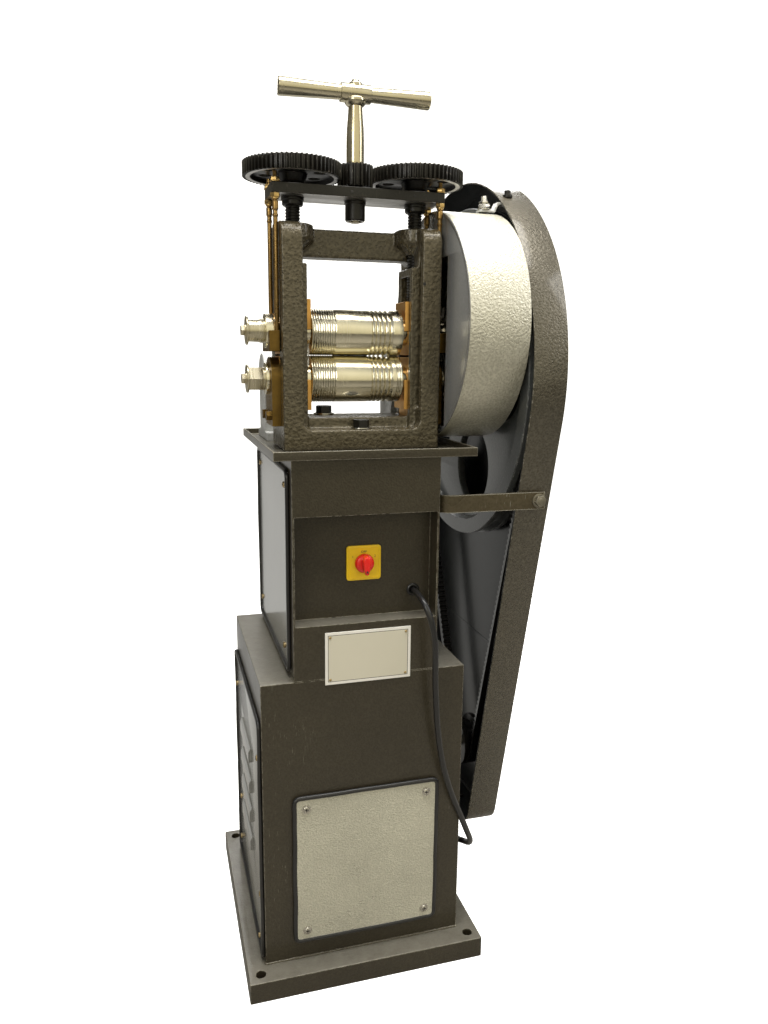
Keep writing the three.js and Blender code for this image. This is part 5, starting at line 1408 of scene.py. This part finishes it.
guard_paint = paint(
    "guard_paint", (0.066, 0.058, 0.04), (0.115, 0.103, 0.077), 0.26, 360, 0.0006, metal=0.5, wear=0.5,
    worn_colour=(0.45, 0.42, 0.36), warp=1.1, coat=0.6, scratch=0.15,
)
foot_front, foot_rear, foot_low, foot_high, foot_edge = 230, 270, 85, 90, 50
guard_wall, guard_skin = guard_right - guard_sheet, 1.3
outer_section = [
    (guard_left, 0.5), (guard_left + 0.4, 0), (guard_right - 1.6, 0), (guard_right - 0.4, 0.5),
    (guard_right, 1.6), (guard_right, 1.7), (guard_left, guard_skin),
]
finished(
    "belt_guard_shell",
    [
        guard_band(outer_section),
        cut_plate("x", [guard_outline(guard_skin)], guard_right - guard_skin, guard_right, 0.2),
        bar_mesh(lower_right, guard_wall, foot_front, foot_rear, foot_low, foot_high - 0.05),
        bar_mesh(lower_right, lower_right + 5, foot_front, foot_rear, foot_edge, foot_low + 1),
    ],
    guard_paint, "frame", "belt_guard", 45,
)
# The lining's near black: dark paint, and in part painted shade inside the guard
guard_inside_shaded = paint(
    "guard_inside_shaded", (0.011, 0.0125, 0.0135), (0.014, 0.0155, 0.0165), 0.3, 500, 0.00003, metal=0.1, wear=0.3,
    worn_colour=(0.2, 0.2, 0.19), coat=0.1, scratch=0.1, mottle=0.05,
)
inner_section = [
    (guard_left + 0.1, guard_skin), (guard_right - guard_skin - 0.1, guard_skin), (guard_wall, guard_sheet),
    (guard_left + 0.1, guard_sheet),
]
inner_line = guard_outline(guard_sheet)
seam_front, seam_rear, seam_low, seam_high = 82, 398, 401, 403.4
finished(
    "belt_guard_lining",
    [
        guard_band(inner_section),
        cut_plate("x", [guard_outline(2.0)], guard_wall, guard_right - guard_skin, 0.1),
        soft_tube([(guard_wall - 0.3, *point) for point in inner_line[-12::2] + inner_line[:1]], 2.2),
        bar_mesh(guard_wall - 0.4, guard_wall + 0.1, seam_front, seam_rear, seam_low, seam_high),
    ],
    guard_inside_shaded, "frame",
)
foot_bolts, foot_bolt_x = [], 232
for y in (foot_front + 10, foot_rear - 10):
    foot_bolts += [
        hex_head("z", foot_low - 5, foot_low, 5.6, foot_bolt_x, y, ease=0.5),
        threaded("z", foot_low - 11, foot_low - 4.5, 3.1, 1.25, 0.4, foot_bolt_x, y, 16),
        turned("z", [(guard_sheet, 5.5), (guard_sheet + 4, 5)], foot_bolt_x, y, 24, 0.6, guard_bottom),
    ]
finished("guard_foot_bolts", foot_bolts, black_oxide, "frame", crease=45)

# The strap that steadies the guard: flat bar bent round from the upper cabinet's wall to the
# guard's front edge, with one hexagon bolt. Its edges are painted light all round, as rubbed
# metal and in part as the highlight along its top.
# Light worn edges: rubbed metal, and in part a painted highlight along the strap's top
strap_paint = paint(
    "strap_paint", (0.075, 0.06, 0.034), (0.095, 0.078, 0.047), 0.27, 300, 0.0001, metal=0.5, wear=0.75,
    worn_colour=(0.62, 0.6, 0.52), coat=0.3, scratch=0.9,
)
dress(["guard_strap"], strap_paint, 0.7)
strap_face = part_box("guard_strap")[0][1] * 1000 - mill_origin.y + 6
bolt_steel = bare_metal(
    "bolt_steel", (0.3, 0.28, 0.23), (0.12, 0.1, 0.075), 0.34, (40.0, 40.0, 40.0), tarnish=0.6,
)
strap_bolt_x, strap_bolt_z = 237, 681
finished(
    "guard_strap_bolt",
    [
        turned("y", [(0, 10.4), (-1.5, 10.0)], strap_bolt_x, strap_bolt_z, 40, 0.4, strap_face),
        hex_head(
            "y", strap_face - 7.4, strap_face - 1.4, 8.4, strap_bolt_x, strap_bolt_z, math.radians(14), 0.8,
        ),
        turned("y", [(-7.3, 4.6), (-7.9, 4.2)], strap_bolt_x, strap_bolt_z, 24, 0.2, strap_face),
    ],
    bolt_steel, "frame", crease=40,
)

# The link between the gear cover and the guard: a short bent strip with a stud and nut on the
# cover, and a black cap screw through the guard's band.
dress(["cover_link"], bracket_grey, 0.5)
link_x, link_y = 187, 114
link_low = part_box("cover_link")[0][2] * 1000
finished(
    "link_stud_and_nut",
    [
        disc("z", link_low + 3, link_low + 4.6, 9.6, link_x, link_y),
        hex_head("z", link_low + 4.5, link_low + 10.6, 8.3, link_x, link_y, math.radians(20), 0.9),
        hex_head("z", link_low + 10.9, link_low + 14.4, 7.4, link_x, link_y, math.radians(48), 0.7),
        threaded("z", link_low + 14, link_low + 21.5, 4.3, 1.5, 0.45, link_x, link_y),
    ],
    bright_steel, "frame", crease=40,
)
cap_x, cap_y = 224, link_y + 4
cap_z = guard_z + math.sqrt(guard_radius ** 2 - (cap_y - guard_y) ** 2)
cap_profile = [(-2.5, 6.8), (2.2, 6.8), (2.2, 4.6), (7.4, 4.6), (8.2, 3.8)]
finished(
    "guard_cap_screw", [turned("z", cap_profile, cap_x, cap_y, 32, 0.5, cap_z)],
    black_oxide, "frame", crease=45,
)

# The flywheel: a cast pulley with a heavy grooved rim, a web with five round openings and a long
# hub. Its faces are filled and painted grey, and the casting is left rough under the belt.
wheel_left, wheel_width, wheel_radius, wheel_rim, wheel_web = 208.5, 35, 257, 25, 12
wheel_right, wheel_inner = wheel_left + wheel_width, wheel_radius - wheel_rim
belt_x, belt_half, groove_half, groove_floor = wheel_left + wheel_width / 2, 8, 9, wheel_radius - 11
web_left = wheel_left + (wheel_width - wheel_web) / 2
web_right = web_left + wheel_web
wheel_paint = paint(
    "wheel_paint", (0.07, 0.075, 0.075), (0.085, 0.09, 0.089), 0.33, 320, 0.00012, metal=0.2, wear=0.5,
    worn_colour=(0.42, 0.42, 0.4), coat=0.3, scratch=0.4, mottle=0.08,
)


def wheel_ring(section, sides):
    """A ring round the flywheel's axis, from its closed cross section in x and radius."""
    return grid_mesh([
        [(x, shaft_y + here * math.cos(turn), shaft_z + here * math.sin(turn)) for x, here in section]
        for turn in (math.tau * side / sides for side in range(sides))
    ], "looped")


rim_section = [
    (wheel_left, wheel_inner + 2), (wheel_left, wheel_radius - 1.2), (wheel_left + 1.2, wheel_radius),
    (belt_x - groove_half, wheel_radius), (belt_x - groove_half, groove_floor),
    (belt_x + groove_half, groove_floor), (belt_x + groove_half, wheel_radius),
    (wheel_right - 1.2, wheel_radius), (wheel_right, wheel_radius - 1.2), (wheel_right, wheel_inner + 2),
    (wheel_right - 2, wheel_inner), (web_right + 4, wheel_inner - 1), (web_right - 1, wheel_inner - 5),
    (web_left + 1, wheel_inner - 5), (web_left - 4, wheel_inner - 1), (wheel_left + 2, wheel_inner),
]
hub_section = [
    (wheel_left, 11.4), (wheel_right, 11.4), (wheel_right, 32), (wheel_right - 2, 34), (web_right + 3, 34),
    (web_right, 38), (web_left, 38), (web_left - 3, 34), (wheel_left + 2, 34), (wheel_left, 32),
]
opening_ring, opening_radius = 148, 62
wheel_outlines = [circle(wheel_inner - 1, shaft_y, shaft_z, 128), circle(33, shaft_y, shaft_z, 48)]
wheel_outlines += [
    circle(opening_radius, a, b, 56) for a, b in circle(opening_ring, shaft_y, shaft_z, 5, math.radians(36))
]
finished(
    "flywheel_casting",
    [
        wheel_ring(rim_section, 160),
        cut_plate("x", wheel_outlines, web_left, web_right, 2.2, 3),
        wheel_ring(hub_section, 64),
    ],
    wheel_paint, "flywheel_set", "flywheel_pulley", 40,
)

# The drive belt: black rubber with a plain back and moulded cogs inside, run round the flywheel
# and the small grooved pulley on the motor.
motor_y, motor_z, pulley_radius, belt_sink = 212, 221, 42, 0.7
belt_thick, cog_length, cog_share, cog_depth = 10, 9, 0.55, 3.4
away_y, away_z = motor_y - shaft_y, motor_z - shaft_z
belt_span, belt_way = math.hypot(away_y, away_z), math.atan2(away_z, away_y)
big_reach, small_reach = wheel_radius - belt_sink, pulley_radius - belt_sink
belt_open = math.acos((big_reach - small_reach) / belt_span)
belt_line = []
for y, z, reach, start, stop in (
    (shaft_y, shaft_z, big_reach, belt_way + belt_open, belt_way - belt_open + math.tau),
    (motor_y, motor_z, small_reach, belt_way - belt_open, belt_way + belt_open),
):
    steps = max(8, round(abs(stop - start) * reach / (cog_length / 2)))
    for turn in (start + (stop - start) * step / steps for step in range(steps + 1)):
        belt_line.append((y + reach * math.cos(turn), z + reach * math.sin(turn), turn))
belt_rows, travelled = [], 0.0
for (y0, z0, t0), (y1, z1, t1) in zip(belt_line, belt_line[1:] + belt_line[:1]):
    run = math.hypot(y1 - y0, z1 - z0)
    count = max(1, round(run / (cog_length / 4)))
    if abs(t1 - t0) > math.pi:
        t1 = t0
    for step in range(count):
        share = step / count
        y, z, turn = y0 + (y1 - y0) * share, z0 + (z1 - z0) * share, t0 + (t1 - t0) * share
        on_cog = (travelled + run * share) % cog_length < cog_length * cog_share
        depth = belt_thick if on_cog else belt_thick - cog_depth
        left, right = belt_x - belt_half, belt_x + belt_half
        belt_rows.append([
            (x, y - inset * math.cos(turn), z - inset * math.sin(turn))
            for x, inset in (
                (left, 0.6), (left + 0.6, 0), (right - 0.6, 0), (right, 0.6), (right - 1.2, depth),
                (left + 1.2, depth),
            )
        ])
    travelled += run
finished(
    "cogged_belt", [grid_mesh(belt_rows, "looped")], rubber_strip, "frame", "drive_belt", 35,
)
dress(["motor_pulley"], black_oxide, 0.8)
